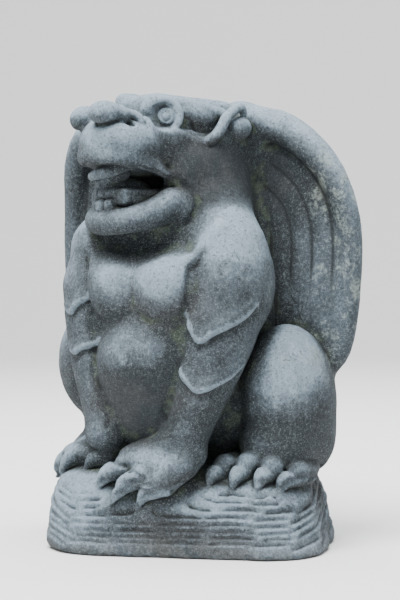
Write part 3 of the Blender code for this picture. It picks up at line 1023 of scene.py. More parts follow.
@dataclass
class Eye:
    """A bulging eye with rings, its lids and the crease that runs back from its corner."""

    height: float
    middle: tuple[float, float] = (36, 23)
    facing: float = 53
    lift: float = 0.02
    socket: Point = (15, 17, 15.5)
    socket_out: float = 13
    dome: Point = (7, 15.5, 15.5)
    dome_out: float = 0.5
    rim: tuple[float, float, float] = (2.6, 15.8, 3.2)
    rings: Sequence[tuple[float, float]] = ((5.8, 10.2), (7.2, 5.2))
    ring_tube: float = 2.1
    lids: Sequence[Sequence[Point]] = (((30, 40, -13), (39, 27, -16), (44, 10, -14)),
                                       ((44, 12, -15), (47, -4, -17), (49, -16, -18)))
    crease: Stroke = Stroke(((46, 11, -1), (48, 7, -4), (50, 3, -6), (52, -9, -12), (52, -22, -14),
                             (52, -32, -13)), (1.6, 2.4, 2.6, 2.6, 2.4, 1.4), 1, 0.6)

    def model(self, clay: Clay, side: Side) -> None:
        """Sinks the eye into its socket, rings it and folds the lids round it.

        Args:
            clay: the clay.
            side: the side of the head.
        """
        angle = math.radians(self.facing)
        out = side.axes @ (math.sin(angle) * side.hand.value, math.cos(angle), self.lift)
        middle = np.array(side.at((*self.middle, self.height)))
        axes = facing(out)
        clay.carve(Egg(tuple(middle + self.socket_out * out), self.socket, axes), blend=3)
        clay.add(Egg(tuple(middle + self.dome_out * out), self.dome, axes), blend=0.5)
        rise, radius, tube = self.rim
        clay.add(Hoop(tuple(middle + rise * out), out, radius, tube), blend=1.5)
        for rise, radius in self.rings:
            clay.carve(Hoop(tuple(middle + rise * out), out, radius, self.ring_tube), blend=0.6)
        clay.lay([Cord(np.add(lid, (0, 0, self.height)), (1.5, 3.1, 1.5), 1.5) for lid in self.lids], side)
        clay.draw((replace(self.crease, knots=np.add(self.crease.knots, (0, 0, self.height))),), side)


@dataclass
class Head(Part):
    """The turned head; its sizes are lateral, forward and height on its own axes."""

    foot: Point = (-5, -48, 0)
    turn: float = 25
    eyes: Sequence[Eye] = field(default_factory=lambda: (Eye(466), Eye(478)))
    skull: Sequence[Mass] = (
        Mass((0, -15, 448), (46, 72, 40), 14),
        Mass((0, -46, 446), (51, 52, 34), 14),
        Mass((0, -15, 473.5), (38, 58, 17), 9, turned((1, 0, 0), 2), edge=14),
    )
    left_brow: Cord = Cord(((24, 40, 473), (34, 31, 480), (40, 8, 480), (43, -14, 477), (45, -40, 471)),
                           (6, 7, 6.5, 7, 9), 6)
    right_brow: Cord = Cord(((20, 38, 480), (32, 34, 487.5), (37, 10, 488.5), (41, -14, 485), (45, -44, 477)),
                            (7, 8.8, 8, 8.5, 9), 5)
    cheek: Sequence[Mass | Cord] = (
        Mass((39, -14, 468), (14, 30, 12), 3, turned((1, 0, 0), 12)),
        Cord(((36, 50, 462), (42, 34, 454), (45, 10, 446), (48, -10, 441)), (3, 4.5, 5, 4), 4),
        Mass((37, -20, 412), (26, 40, 35), 12),
        Mass((34, 30, 438), (16, 32, 22), 10),
    )
    muzzle: Sequence[Mass | Cord] = (
        Mass((0, 44, 441), (31, 50, 26), 8, edge=18),
        Mass((0, 50, 436), (46, 53, 31), 8),
        Cord(((-40, 42, 412), (-38, 62, 416.5), (-32, 82, 420), (-18, 93, 422), (0, 97, 423), (18, 93, 421.5),
              (33, 83, 420), (38, 62, 416.5), (40, 42, 412), (41, 26, 404)),
             (6, 7, 7, 6.5, 6, 6.5, 7, 7.5, 7, 5), 10),
        Mass((13, 70, 440), (38, 34, 24), 9),
    )
    nose: Sequence[Mass] = (
        Mass((-24, 87, 464), (17, 18, 14.5), 3),
        Mass((24, 92, 467), (16, 20, 13), 3),
        Mass((28, 77, 466), (11, 14, 10), 3, turned((1, 0, 0), 10)),
    )
    nostril: Mass = Mass((42, 71, 456), (8, 6, 4.5), 1.5)
    nostril_curl: Cord = Cord(((30, 76, 468), (35, 64, 466), (39, 57, 459), (39, 60, 451), (37, 69, 449)),
                              (5.5, 5, 4.2, 3.8, 3), 1)
    cheek_hollow: Cord = Cord(((50, 38, 450), (52, 30, 430), (51, 24, 412)), (5, 7, 5), 9)
    under_jaw: Cord = Cord(((66, -26, 378), (60, -20, 352), (55, 0, 343)), (4, 9, 5), 8)
    jaw_rim: Cord = Cord(((-42, 20, 380), (-40, 46, 366), (-30, 68, 356), (0, 77, 352), (30, 68, 354),
                          (41, 47, 360), (43, 20, 372)), (16, 15, 14.5, 14, 14, 15.5, 18), 3)
    jaw_knob: Mass = Mass((46, 5, 367), (17.5, 24, 24.5), 3)
    jaw_floor: Sequence[Mass] = (Mass((0, 28, 362), (40, 50, 18), 8), Mass((0, -16, 366), (48, 50, 30), 14))
    gape: Cord = Cord(((0, 112, 395), (0, 60, 395), (0, 32, 395)), (34, 34, 28), 3, flatness=0.46)
    mouth_corner: Cord = Cord(((30, 100, 397), (45, 58, 396), (47, 28, 396)), (12, 10, 3), 3)
    palate_and_gum: Sequence[Mass | Cord] = (
        Mass((-3, 38, 412), (27, 42, 10), 6),
        Cord(((-36, 46, 402), (-33, 62, 402), (-24, 78, 402), (-8, 88, 402.5), (7, 88, 404), (18, 80, 407),
              (27, 67, 412), (33, 50, 415)), (4, 4, 4.5, 5, 6, 6.5, 5, 3), 2),
    )
    tongue_and_tusk: Sequence[Mass | Cord] = (
        Mass((0, 36, 379), (34, 40, 9), 1.5, edge=5),
        Mass((-6, 50, 388), (26, 30, 14), 3),
        Cord(((-22, 72, 388), (-12, 74, 395), (4, 71, 400), (16, 62, 403)), (5, 6.5, 6.5, 5), 4),
        Cord(((-35, 60, 383), (-22, 71, 383), (-4, 75, 383), (13, 72, 383)), 6.5, 1),
    )
    tooth: Mass = Mass((1, 3.5, 370), (6, 7, 6.8), 1, edge=4.8)
    tooth_gap: Mass = Mass((7, 7, 384), (1.5, 2.6, 6), 1.5)
    teeth: Sequence[tuple[float, float]] = ((-31, 5.5), (-19, 6.5), (-5, 7), (10, 6))
    teeth_forward: float = 75
    teeth_bend: float = 0.012
    ear_slit: Cord = Cord(((58, -20, 437), (60, -36, 445), (60, -46, 456), (60, -54, 466), (58, -60, 471)),
                          (3, 4.5, 5, 4.5, 3), 2)
    ear: Sequence[Mass | Cord] = (
        Mass((52, -63, 457), (10.5, 14.5, 12.5), 3),
        Cord(((47, -3, 436), (52, -13, 438), (55, -24, 443), (57, -33, 453), (57, -41, 466), (56, -52, 475),
              (55, -62, 479), (54, -67, 473)), (4, 5.6, 6.2, 6.2, 5.8, 5.4, 5.2, 4.2), 2),
    )
    creases: Sequence[Stroke] = (
        Stroke(((12, 98, 462), (28, 92, 456), (38, 76, 456), (42, 60, 452)), (1.5, 2.2, 2.2, 1.2), 2, 0.5),
        Stroke(((0, 98, 413), (18, 92, 412), (34, 80, 411), (42, 62, 408), (45, 43, 404), (46, 28, 397)),
               (2.4, 3, 3.4, 3.4, 3, 2), 1.2, 0.8),
        Stroke(((45, 24, 399), (50, 13, 394), (57, 6, 388), (62, 2, 380), (66, 0, 370), (64, 4, 360),
                (58, 10, 351)), (2, 3, 3.6, 4, 4, 3.5, 2.5), 2.5, 0.7),
    )

    def __post_init__(self) -> None:
        """Works out the head's two sides, on its own axes: lateral, forward and up."""
        angle = math.radians(self.turn)
        axes = np.array([[math.cos(angle), -math.sin(angle), 0],
                         [-math.sin(angle), -math.cos(angle), 0], [0, 0, 1]]).T
        self.left, self.right = self.sides = tuple(Side(hand, self.foot, axes) for hand in Hand)

    def model(self, clay: Clay) -> None:
        """Adds the head's main forms, opens the mouth and finishes the features.

        Args:
            clay: the clay.
        """
        clay.lay(self.skull, self.left)
        clay.lay((self.right_brow,), self.right)
        clay.lay((self.left_brow,), self.left)
        clay.lay(self.cheek, *self.sides)
        clay.lay((*self.muzzle, *self.nose), self.left)
        for side in self.sides:
            clay.hollow((self.nostril,), side)
            clay.lay((self.nostril_curl,), side)
            clay.hollow((self.cheek_hollow,), side)
        self.jaw_and_mouth(clay)
        for eye, side in zip(self.eyes, self.sides):
            eye.model(clay, side)
            clay.hollow((self.ear_slit,), side)
            clay.lay(self.ear, side)

    def jaw_and_mouth(self, clay: Clay) -> None:
        """Adds the lower jaw, opens the mouth and fills it with gum, tongue, tusk and teeth.

        Args:
            clay: the clay.
        """
        clay.hollow((self.under_jaw,), *self.sides)
        clay.lay((self.jaw_rim,), self.left)
        clay.lay((self.jaw_knob,), *self.sides)
        clay.lay(self.jaw_floor, self.left)
        clay.hollow((self.gape,), self.left)
        clay.hollow((self.mouth_corner,), *self.sides)
        clay.lay((*self.palate_and_gum, *self.tongue_and_tusk), self.left)
        for across, width in self.teeth:
            place = (across, self.teeth_forward - self.teeth_bend * across ** 2, 0)
            half = (width, *self.tooth.half[1:])
            gap = replace(self.tooth_gap, centre=np.add(self.tooth_gap.centre, place))
            tooth = replace(self.tooth, centre=np.add(self.tooth.centre, place), half=half)
            clay.hollow((gap,), self.left)
            clay.lay((tooth,), self.left)

    def dress(self, clay: Clay) -> None:
        """Draws the lines of the face."""
        clay.draw(self.creases, *self.sides)


def way_from(outline: Array, x: Array, z: Array) -> Array:
    """Measures how far points of a plane lie from a line of straight runs.

    Args:
        outline: the line's points, as rows of X and Z.
        x: place across.
        z: height.

    Returns:
        The distances.
    """
    nearest = np.full(np.broadcast_shapes(x.shape, z.shape), 1e9)
    for start, end in zip(outline, outline[1:]):
        run = end - start
        share = np.clip(((x - start[0]) * run[0] + (z - start[1]) * run[1]) / (run @ run), 0, 1)
        gap = (x - start[0] - run[0] * share) ** 2 + (z - start[1] - run[1] * share) ** 2
        nearest = np.minimum(nearest, gap)
    return np.sqrt(nearest)


@dataclass(eq=False)
class Wing(Form, Part):
    """The web of a folded wing, with shallow flutes, and the thick roll of its leading edge.

    The flutes run along the roll and fade out downwards: fade is where that starts to end, over what
    height, and what is left below.
    """

    hand: Hand
    edge: Sequence[Point]
    radii: Sequence[float] = (16, 18, 18, 17, 15.5, 14, 13, 13, 12.5, 12, 9)
    foot: Sequence[tuple[float, float]] = ((105, 200), (55, 215), (0, 300), (0, 470))
    middle: float = 32
    thickness: float = 11
    web_round: tuple[float, float] = (3, 6)
    inset: float = 4
    flute_start: float = 17
    flute_pitch: float = 25
    flute_depth: float = 2.4
    flute_soft: float = 0.05
    flute_level: float = 0.6
    fade: tuple[float, float, float] = (215, 90, 0.25)
    root: Mass = Mass((50, 22, 440), (34, 26, 50), 12)

    def __post_init__(self) -> None:
        """Works out the roll and the web's closed outline."""
        self.roll = Limb(Side(self.hand).line(self.edge), self.radii, runs=3)
        self.crest = np.abs(self.roll.spine[:, [0, 2]])
        self.outline = np.vstack([self.crest, self.foot, self.crest[:1]])

    def reach(self) -> tuple[Array, Array]:
        """Gives the lowest and highest corners."""
        low, high = self.roll.reach()
        return np.array((min(low[0], 0), -5.0, low[2])), np.array((max(high[0], 0), 60.0, high[2]))

    def depth_in_web(self, x: Array, z: Array) -> Array:
        """Measures how far inside the outline points lie, in the web's own plane.

        Args:
            x: place across, as if on the left.
            z: height.

        Returns:
            The depth, less than zero outside.
        """
        inside = np.zeros(np.broadcast_shapes(x.shape, z.shape), bool)
        for start, end in zip(self.outline, self.outline[1:]):
            crosses = (start[1] <= z) != (end[1] <= z)
            share = (z - start[1]) / (end[1] - start[1] + 1e-9)
            inside ^= crosses & (x < start[0] + share * (end[0] - start[0]))
        return np.where(inside, 1, -1) * way_from(self.outline, x, z)

    def distance(self, x: Array, y: Array, z: Array) -> Array:
        """Measures the distance of points from the web.

        Args:
            x: the points' X.
            y: their Y.
            z: their Z.

        Returns:
            The distances.
        """
        across, level = (x * self.hand.value)[:, 0, :], z[:, 0, :]
        depth = self.depth_in_web(across, level)[:, None, :]
        from_roll = way_from(self.crest, across, level)[:, None, :]
        wave = np.sin((from_roll - self.flute_start) / self.flute_pitch * math.pi)
        rib = np.sqrt(wave ** 2 + self.flute_soft)
        low, rise, least = self.fade
        lift = self.flute_depth * (rib - self.flute_level) * np.clip((z - low) / rise, least, 1)
        front = self.middle - self.thickness - lift - y
        back = y - (self.middle + self.thickness) - 0.5 * lift
        face, rim = self.web_round
        return soft_most(soft_most(front, back, face), self.inset - depth, rim)

    def model(self, clay: Clay) -> None:
        """Adds the web, the roll and the root of the wing.

        Args:
            clay: the clay.
        """
        clay.add(self, blend=3)
        clay.add(self.roll, blend=4)
        clay.lay((self.root,), Side(self.hand))


WINGS = (
    Wing(Hand.LEFT, (
        (40, 22, 469), (74, 20, 465.5), (108, 19, 456.5), (139, 20, 434.5), (162, 23, 406.5), (177, 27, 370),
        (182, 30, 335), (181, 31, 295), (178, 31, 255), (170, 31, 215), (156, 30, 191))),
    Wing(Hand.RIGHT, (
        (40, 22, 474), (80, 20, 474), (120, 18, 471), (152, 17, 456), (168, 20, 424), (174, 26, 380),
        (177, 28, 335), (176, 29, 295), (173, 29, 255), (168, 29, 215), (158, 28, 188))),
)


@dataclass
class Gargoyle:
    """The whole carving, in the order in which it is modelled."""

    parts: Sequence[Part] = field(default_factory=lambda: (
        Block(), Trunk(), *WINGS, *HIND_LEGS, *FORELEGS, *FRONT_PAWS, Head()))
    low: Point = (-215, -185, -6)
    high: Point = (215, 115, 512)

    def sculpt(self, clay: Clay) -> None:
        """Models the carving and then draws its details.

        Args:
            clay: the clay.
        """
        for part in self.parts:
            part.model(clay)
        for part in self.parts:
            part.dress(clay)


# ---------------------------------------------------------------- stone into the scene


def points_of(mesh: bpy.types.Mesh) -> Array:
    """Reads a mesh's points.

    Args:
        mesh: the mesh.

    Returns:
        Rows of X, Y and Z.
    """
    points = np.zeros((len(mesh.vertices), 3))
    mesh.vertices.foreach_get("co", points.ravel())
    return points


def in_scene(name: str, data: bpy.types.ID) -> bpy.types.Object:
    """Makes an object and puts it in the scene.

    Args:
        name: its name.
        data: its mesh, light or camera.

    Returns:
        The object.
    """
    made = bpy.data.objects.new(name, data)
    bpy.context.scene.collection.objects.link(made)
    return made


@dataclass
class Crowding:
    """How much stone lies round each point, at one reach: a half on a flat, more in a hollow."""

    clay: Clay
    reach: float

    def __post_init__(self) -> None:
        """Averages the stone over a box at every grid point."""
        solid = (self.clay.field < 0).astype(np.float32)
        cells = max(1, round(self.reach / self.clay.step))
        for axis in range(3):
            for _ in range(2):
                solid = self._averaged(solid, cells, axis)
        self.solid = solid

    @staticmethod
    def _averaged(solid: Array, cells: int, axis: int) -> Array:
        """Averages along one axis.

        Args:
            solid: the grid.
            cells: how many cells each way it averages over.
            axis: the axis.

        Returns:
            The averaged grid.
        """
        pad = [(0, 0)] * 3
        pad[axis] = (cells + 1, cells)
        total = np.cumsum(np.pad(solid, pad, mode="edge"), axis=axis, dtype=np.float64)
        width = 2 * cells + 1
        upper = np.take(total, range(width, total.shape[axis]), axis=axis)
        lower = np.take(total, range(0, total.shape[axis] - width), axis=axis)
        return ((upper - lower) / width).astype(np.float32)

    def at(self, points: Array) -> Array:
        """Reads the share of stone round points."""
        return read_grid(self.solid, self.clay.origin, self.clay.step, points)


@dataclass(frozen=True)
class StainAndLightPatch:
    """A soft-edged patch where the stone is painted paler or darker than elsewhere: stains, and painted light
    and painted shade where parts are lit or shaded.
    """

    centre: Point
    half: Point
    strength: float
    edge: float = 1.4

    def share(self, points: Array) -> Array:
        """Gives how strongly it lies on each point."""
        near = np.clip(self.edge - np.linalg.norm((points - self.centre) / np.array(self.half), axis=1), 0, 1)
        return self.strength * near * near * (3 - 2 * near)


# Paler patches are painted light on lit parts such as the muzzle, chest, haunch, paws, teeth, gum and eyes,
# and on the block top where the paw's shadow falls; darker ones are painted shade on the neck under the head,
# behind the jaw and low on the belly and the block. Some of them stand for stains as well.
STAINS_AND_LIGHT_PATCHES = (
    StainAndLightPatch((-5, -146, 438), (40, 32, 26), 0.8), StainAndLightPatch((-32, -149, 430), (24, 24, 22), 0.3),
    StainAndLightPatch((-17, -130, 288), (26, 25, 26), 0.6), StainAndLightPatch((38, -131, 290), (30, 25, 28), 0.75),
    StainAndLightPatch((10, -137, 222), (42, 30, 30), 0.2), StainAndLightPatch((100, -85, 338), (36, 40, 36), 0.3),
    StainAndLightPatch((132, -54, 196), (52, 52, 56), 0.8), StainAndLightPatch((29, -134, 102), (34, 26, 18), 0.35),
    StainAndLightPatch((-38, -121, 129), (22, 24, 22), 0.5), StainAndLightPatch((-60, -150, 42), (36, 30, 34), 0.3),
    StainAndLightPatch((50, -70, 412), (30, 40, 34), -0.8), StainAndLightPatch((68, -42, 400), (38, 48, 38), -1.0),
    StainAndLightPatch((84, 18, 412), (34, 22, 50), -0.5), StainAndLightPatch((103, 21, 362), (22, 20, 70), -0.4),
    StainAndLightPatch((6, -128, 155), (50, 36, 46), -1.0), StainAndLightPatch((156, -36, 131), (40, 46, 40), -0.3),
    StainAndLightPatch((70, -122, 22), (70, 56, 20), -0.6), StainAndLightPatch((50, -118, 190), (16, 24, 40), -0.3),
    StainAndLightPatch((-44, -116, 378), (26, 22, 22), 0.6), StainAndLightPatch((-42, -127, 404), (26, 18, 12), 0.6),
    StainAndLightPatch((58, -116, 58), (58, 36, 18), 1.0), StainAndLightPatch((-20, -112, 66), (60, 34, 24), 0.7),
    StainAndLightPatch((66, -58, 374), (38, 36, 30), -0.4), StainAndLightPatch((22, -92, 466), (20, 20, 19), 0.7),
    StainAndLightPatch((8, -90, 328), (34, 30, 20), 0.6), StainAndLightPatch((158, 21, 290), (26, 30, 80), 0.5),
    StainAndLightPatch((106, 20, 300), (40, 30, 70), 0.3), StainAndLightPatch((-50, -62, 478), (20, 20, 20), 0.5),
)


@dataclass(frozen=True)
class Mark:
    """A mark that rises from 0 to 1 from a start on, as the stone at a reach gets more crowded.

    Where the rise is less than zero, it rises as the stone gets less crowded.
    """

    reach: float
    start: float
    rise: float

    def of(self, crowding: Array) -> Array:
        """Gives the mark at points whose crowding is known."""
        return np.clip((crowding - self.start) / self.rise, 0, 1)


FINE, MIDDLING, BROAD = 1.8, 6.0, 21.0

# crease, hollow and shade measure how closed in the stone is and are used to paint shade into creases,
# hollows and under overhangs; edge and proud are used for wear on edges
MARKS = {
    "crease": Mark(FINE, 0.52, 0.16),
    "edge": Mark(FINE, 0.48, -0.16),
    "hollow": Mark(MIDDLING, 0.5, 0.3),
    "shade": Mark(BROAD, 0.5, 0.3),
    "proud": Mark(MIDDLING, 0.5, -0.3),
}


@dataclass
class Sculpture:
    """The carving as a mesh: taken off the clay, thinned, weathered and seated on the solid."""

    name: str = "carved_stone"
    step: float = 1.5
    quick_step: float = 2.6
    triangles: int = 196000
    creature: Gargoyle = field(default_factory=Gargoyle)
    marks: dict[str, Mark] = field(default_factory=lambda: MARKS)
    stains_and_light_patches: Sequence[StainAndLightPatch] = STAINS_AND_LIGHT_PATCHES
    overhead: float = 1.5 * BROAD
    clear: float = 8
    shut: float = 0.5
    rubbed_full: float = 1.2
    rubbed_width: float = 4.0

    def build(self) -> bpy.types.Object:
        """Makes the piece.

        Returns:
            The finished object.
        """
        clay = Clay(self.creature.low, self.creature.high, self.step)
        self.creature.sculpt(clay)
        points, faces = clay.skin()
        piece = self.thinned(points, faces)
        self.mark(piece.data, clay)
        piece = Weathering().worn(piece)
        self.seat(piece.data)
        piece.data.polygons.foreach_set("use_smooth", [True] * len(piece.data.polygons))
        return piece

    def thinned(self, points: Array, faces: Array) -> bpy.types.Object:
        """Makes the mesh and thins it where the stone is flat.

        Args:
            points: rows of X, Y and Z.
            faces: rows of four point numbers.

        Returns:
            The object, in millimetres.
        """
        mesh = bpy.data.meshes.new(self.name)
        mesh.from_pydata(points.tolist(), [], faces.tolist())
        piece = in_scene(self.name, mesh)
        thin = piece.modifiers.new("thin", "DECIMATE")
        thin.ratio = min(1.0, self.triangles / (2 * len(faces)))
        return made_plain(piece)

    def mark(self, mesh: bpy.types.Mesh, clay: Clay) -> None:
        """Marks each point: its crowding, its painted sky light, its stains and patches of painted light and
        shade, and how rubbed.

        Args:
            mesh: the mesh, in millimetres.
            clay: the clay that it was taken from.
        """
        points = points_of(mesh)
        outward = clay.slope(points, 2 * clay.step)
        crowding = {reach: Crowding(clay, reach) for reach in (FINE, MIDDLING, BROAD)}
        marks = {label: mark.of(crowding[mark.reach].at(points)) for label, mark in self.marks.items()}
        # painted sky light: points that face up with open stone above are painted lighter, points that face
        # down or lie under overhangs darker
        above = points + (0, 0, self.overhead) + self.clear * outward
        open_sky = 1 - np.clip(crowding[BROAD].at(above) / self.shut, 0, 1)
        marks["sky"] = np.clip(0.5 + 0.5 * outward[:, 2], 0, 1) * open_sky
        # stains and patches of painted light and painted shade
        marks["stain"] = 0.5 + 0.5 * np.clip(sum(stain.share(points) for stain in self.stains_and_light_patches), -1, 1)
        cuffs = [clay.drawn(leg.side.line(band), 1.0, 0.0) for leg in FORELEGS for band in leg.cuffs]
        gaps = [cuff.distance(*points.T) for cuff in cuffs]
        marks["rubbed"] = np.clip(self.rubbed_full - np.min(gaps, axis=0) / self.rubbed_width, 0, 1)
        for label, values in marks.items():
            layer = mesh.attributes.new(label, "FLOAT", "POINT")
            layer.data.foreach_set("value", values.astype(np.float32))

    @staticmethod
    def seat(mesh: bpy.types.Mesh) -> None:
        """Takes the mesh to metres and fits it to the box of the solid.

        Args:
            mesh: the mesh, in millimetres.
        """
        points = points_of(mesh)
        low, high = points.min(axis=0), points.max(axis=0)
        goal_low, goal_high = (np.array(corner) for corner in CAD_BOX)
        scale = (goal_high - goal_low) / (high - low)
        log.info("stone is %s mm before it is seated, scaled by %s", np.round(high - low, 1),
                 np.round(scale / MM, 4))
        mesh.vertices.foreach_set("co", (goal_low + (points - low) * scale).ravel())
        mesh.update()


def made_plain(piece: bpy.types.Object) -> bpy.types.Object:
    """Turns what an object's modifiers make into its own plain mesh.

    Args:
        piece: the object.

    Returns:
        The same object, without modifiers.
    """
    graph = bpy.context.evaluated_depsgraph_get()
    mesh = bpy.data.meshes.new_from_object(piece.evaluated_get(graph), preserve_all_data_layers=True,
                                           depsgraph=graph)
    piece.modifiers.clear()
    old, piece.data = piece.data, mesh
    bpy.data.meshes.remove(old)
    return piece


@dataclass
class Weathering:
    """Wears the skin: slow unevenness and shallow pits, worked out by a tree of geometry nodes."""

    unevenness: float = 0.85
    unevenness_size: float = 13.0
    pit_depth: float = 0.5
    pit_size: float = 7.0
    pit_level: float = 0.42
    pit_fall: float = 2.4
    pitted_patches: float = 0.05
    patch_edge: float = 4
    seed: float = 4.0

    def worn(self, piece: bpy.types.Object) -> bpy.types.Object:
        """Applies the wear.

        Args:
            piece: the object, in millimetres.

        Returns:
            The object with its worn mesh.
        """
        tree, identifiers = self.tree()
        modifier = piece.modifiers.new("weathering", "NODES")
        modifier.node_group = tree
        for label, value in self.inputs().items():
            modifier[identifiers[label]] = value
        return made_plain(piece)

    def inputs(self) -> dict[str, object]:
        """Gives the value of each named input.

        Returns:
            The values by name.
        """
        return {"Unevenness": self.unevenness, "Unevenness Size": self.unevenness_size,
                "Pit Depth": self.pit_depth, "Pit Size": self.pit_size, "Seed": self.seed,
                "Stone": WEATHERED_STONE.material()}

    def tree(self) -> tuple[bpy.types.NodeTree, dict[str, str]]:
        """Builds the tree.

        Returns:
            The tree and the identifier of each named input.
        """
        tree = bpy.data.node_groups.new("weathering", "GeometryNodeTree")
        face = tree.interface
        face.new_socket("Geometry", in_out="INPUT", socket_type="NodeSocketGeometry")
        identifiers = {}
        for label, value in self.inputs().items():
            kind = "NodeSocketMaterial" if label == "Stone" else "NodeSocketFloat"
            identifiers[label] = face.new_socket(label, in_out="INPUT", socket_type=kind).identifier
        face.new_socket("Geometry", in_out="OUTPUT", socket_type="NodeSocketGeometry")
        graph = Graph(tree)
        given = graph.node("NodeGroupInput")
        place = graph.node("GeometryNodeInputPosition").out()
        outward = graph.node("GeometryNodeInputNormal").out()
        hollow = graph.node("GeometryNodeInputNamedAttribute", {"data_type": "FLOAT"},
                            {"Name": "hollow"}).out("Attribute")
        wave = graph.node("ShaderNodeTexNoise", {"noise_dimensions": "4D"}, {
            "Vector": place, "W": given.out("Seed"), "Scale": 1 / given.out("Unevenness Size"),
            "Detail": 3.0}).out()
        cell = graph.node("ShaderNodeTexVoronoi", {"voronoi_dimensions": "4D", "feature": "SMOOTH_F1"}, {
            "Vector": place, "W": given.out("Seed"), "Scale": 1 / given.out("Pit Size")}).out("Distance")
        chance = graph.node("ShaderNodeTexNoise", {}, {
            "Vector": place, "Scale": self.pitted_patches}).out()
        pit = (self.pit_level - cell).held() * ((chance - self.pit_level) * self.patch_edge).held()
        rise = (wave - 0.5) * 2 * given.out("Unevenness")
        fall = pit * self.pit_fall * given.out("Pit Depth") * (1 - hollow)
        offset = graph.node("ShaderNodeVectorMath", {"operation": "SCALE"},
                            {"Vector": outward, "Scale": rise - fall}).out()
        moved = graph.node("GeometryNodeSetPosition", {}, {
            "Geometry": given.out("Geometry"), "Offset": offset})
        real = graph.node("GeometryNodeRealizeInstances", {}, {"Geometry": moved.out()})
        done = graph.node("GeometryNodeSetMaterial", {}, {
            "Geometry": real.out(), "Material": given.out("Stone")})
        graph.node("NodeGroupOutput", {}, {"Geometry": done.out()})
        return tree, identifiers


# ---------------------------------------------------------------- finishes


@dataclass
class Value:
    """A socket that takes part in sums: an expression on values adds its Math nodes."""

    graph: Graph
    socket: bpy.types.NodeSocket

    def _math(self, operation: str, first: Value | float, second: Value | float = 0.0,
              held: bool = False) -> Value:
        """Adds a Math node.

        Args:
            operation: the node's operation.
            first: its first input.
            second: its second input.
            held: keeps the result between 0 and 1.

        Returns:
            The node's result.
        """
        settings = {"operation": operation, "use_clamp": held}
        return self.graph.node("ShaderNodeMath", settings, {0: first, 1: second}).out()

    def __add__(self, other: Value | float) -> Value:
        """Adds."""
        return self._math("ADD", self, other)

    def __radd__(self, other: float) -> Value:
        """Adds to a number."""
        return self._math("ADD", other, self)

    def __sub__(self, other: Value | float) -> Value:
        """Takes away."""
        return self._math("SUBTRACT", self, other)

    def __rsub__(self, other: float) -> Value:
        """Takes away from a number."""
        return self._math("SUBTRACT", other, self)

    def __mul__(self, other: Value | float) -> Value:
        """Multiplies."""
        return self._math("MULTIPLY", self, other)

    def __rmul__(self, other: float) -> Value:
        """Multiplies a number."""
        return self._math("MULTIPLY", other, self)

    def __truediv__(self, other: Value | float) -> Value:
        """Divides."""
        return self._math("DIVIDE", self, other)

    def __rtruediv__(self, other: float) -> Value:
        """Divides a number."""
        return self._math("DIVIDE", other, self)

    def held(self) -> Value:
        """Keeps the value between 0 and 1."""
        return self._math("ADD", self, 0.0, held=True)

    def band(self, low: float, high: float) -> Value:
        """Rises smoothly from 0 at low to 1 at high; low may be the greater."""
        return self.graph.node("ShaderNodeMapRange", {"interpolation_type": "SMOOTHSTEP"}, {
            "Value": self, "From Min": low, "From Max": high}).out()


@dataclass
class Made:
    """A node of a tree."""

    graph: Graph
    node: bpy.types.Node

    def out(self, label: str | int = 0) -> Value:
        """Gives one of the node's outputs."""
        return Value(self.graph, self.node.outputs[label])


@dataclass
class Graph:
    """A tree of nodes that grows by one method."""

    tree: bpy.types.NodeTree

    def node(self, kind: str, settings: dict[str, object] | None = None,
             inputs: dict[str | int, object] | None = None) -> Made:
        """Adds a node.

        Args:
            kind: the node's type.
            settings: its own settings, set before the sockets; "stops" are a ramp's stops.
            inputs: the value or link of its sockets.

        Returns:
            The node.
        """
        node = self.tree.nodes.new(kind)
        for label, value in (settings or {}).items():
            if label == "stops":
                self._set_stops(node.color_ramp, value)
            else:
                setattr(node, label, value)
        for label, value in (inputs or {}).items():
            if isinstance(value, Value):
                self.tree.links.new(value.socket, node.inputs[label])
            else:
                node.inputs[label].default_value = value
        return Made(self, node)

    @staticmethod
    def _set_stops(ramp: bpy.types.ColorRamp, stops: Sequence[tuple[float, Sequence[float]]]) -> None:
        """Sets a ramp's stops.

        Args:
            ramp: the ramp.
            stops: the place and colour of each stop.
        """
        while len(ramp.elements) < len(stops):
            ramp.elements.new(1.0)
        for element, (place, tint) in zip(ramp.elements, stops):
            element.position, element.color = place, tint

    def mix(self, share: Value | float, first: object, second: object, blend: str = "MIX") -> Value:
        """Mixes two colours.

        Args:
            share: how much of the second.
            first: the first colour.
            second: the second colour.
            blend: how they are mixed.

        Returns:
            The mixed colour.
        """
        return self.node("ShaderNodeMix", {"data_type": "RGBA", "blend_type": blend},
                         {0: share, 6: first, 7: second}).out(2)

    def noise(self, place: Value, size: float, detail: float = 3.0, roughness: float = 0.55) -> Value:
        """Adds a noise whose features are about so many metres across."""
        return self.node("ShaderNodeTexNoise", {}, {"Vector": place, "Scale": 1 / size, "Detail": detail,
                                                    "Roughness": roughness}).out()

    def attribute(self, label: str) -> Value:
        """Reads one of the piece's own marks."""
        return self.node("ShaderNodeAttribute", {"attribute_name": label}).out("Fac")


def colour(red: float, green: float, blue: float) -> tuple[float, float, float, float]:
    """Gives a colour from its screen values of 0 to 255."""
    linear = [((part / 255 + 0.055) / 1.055) ** 2.4 for part in (red, green, blue)]
    return (*linear, 1.0)


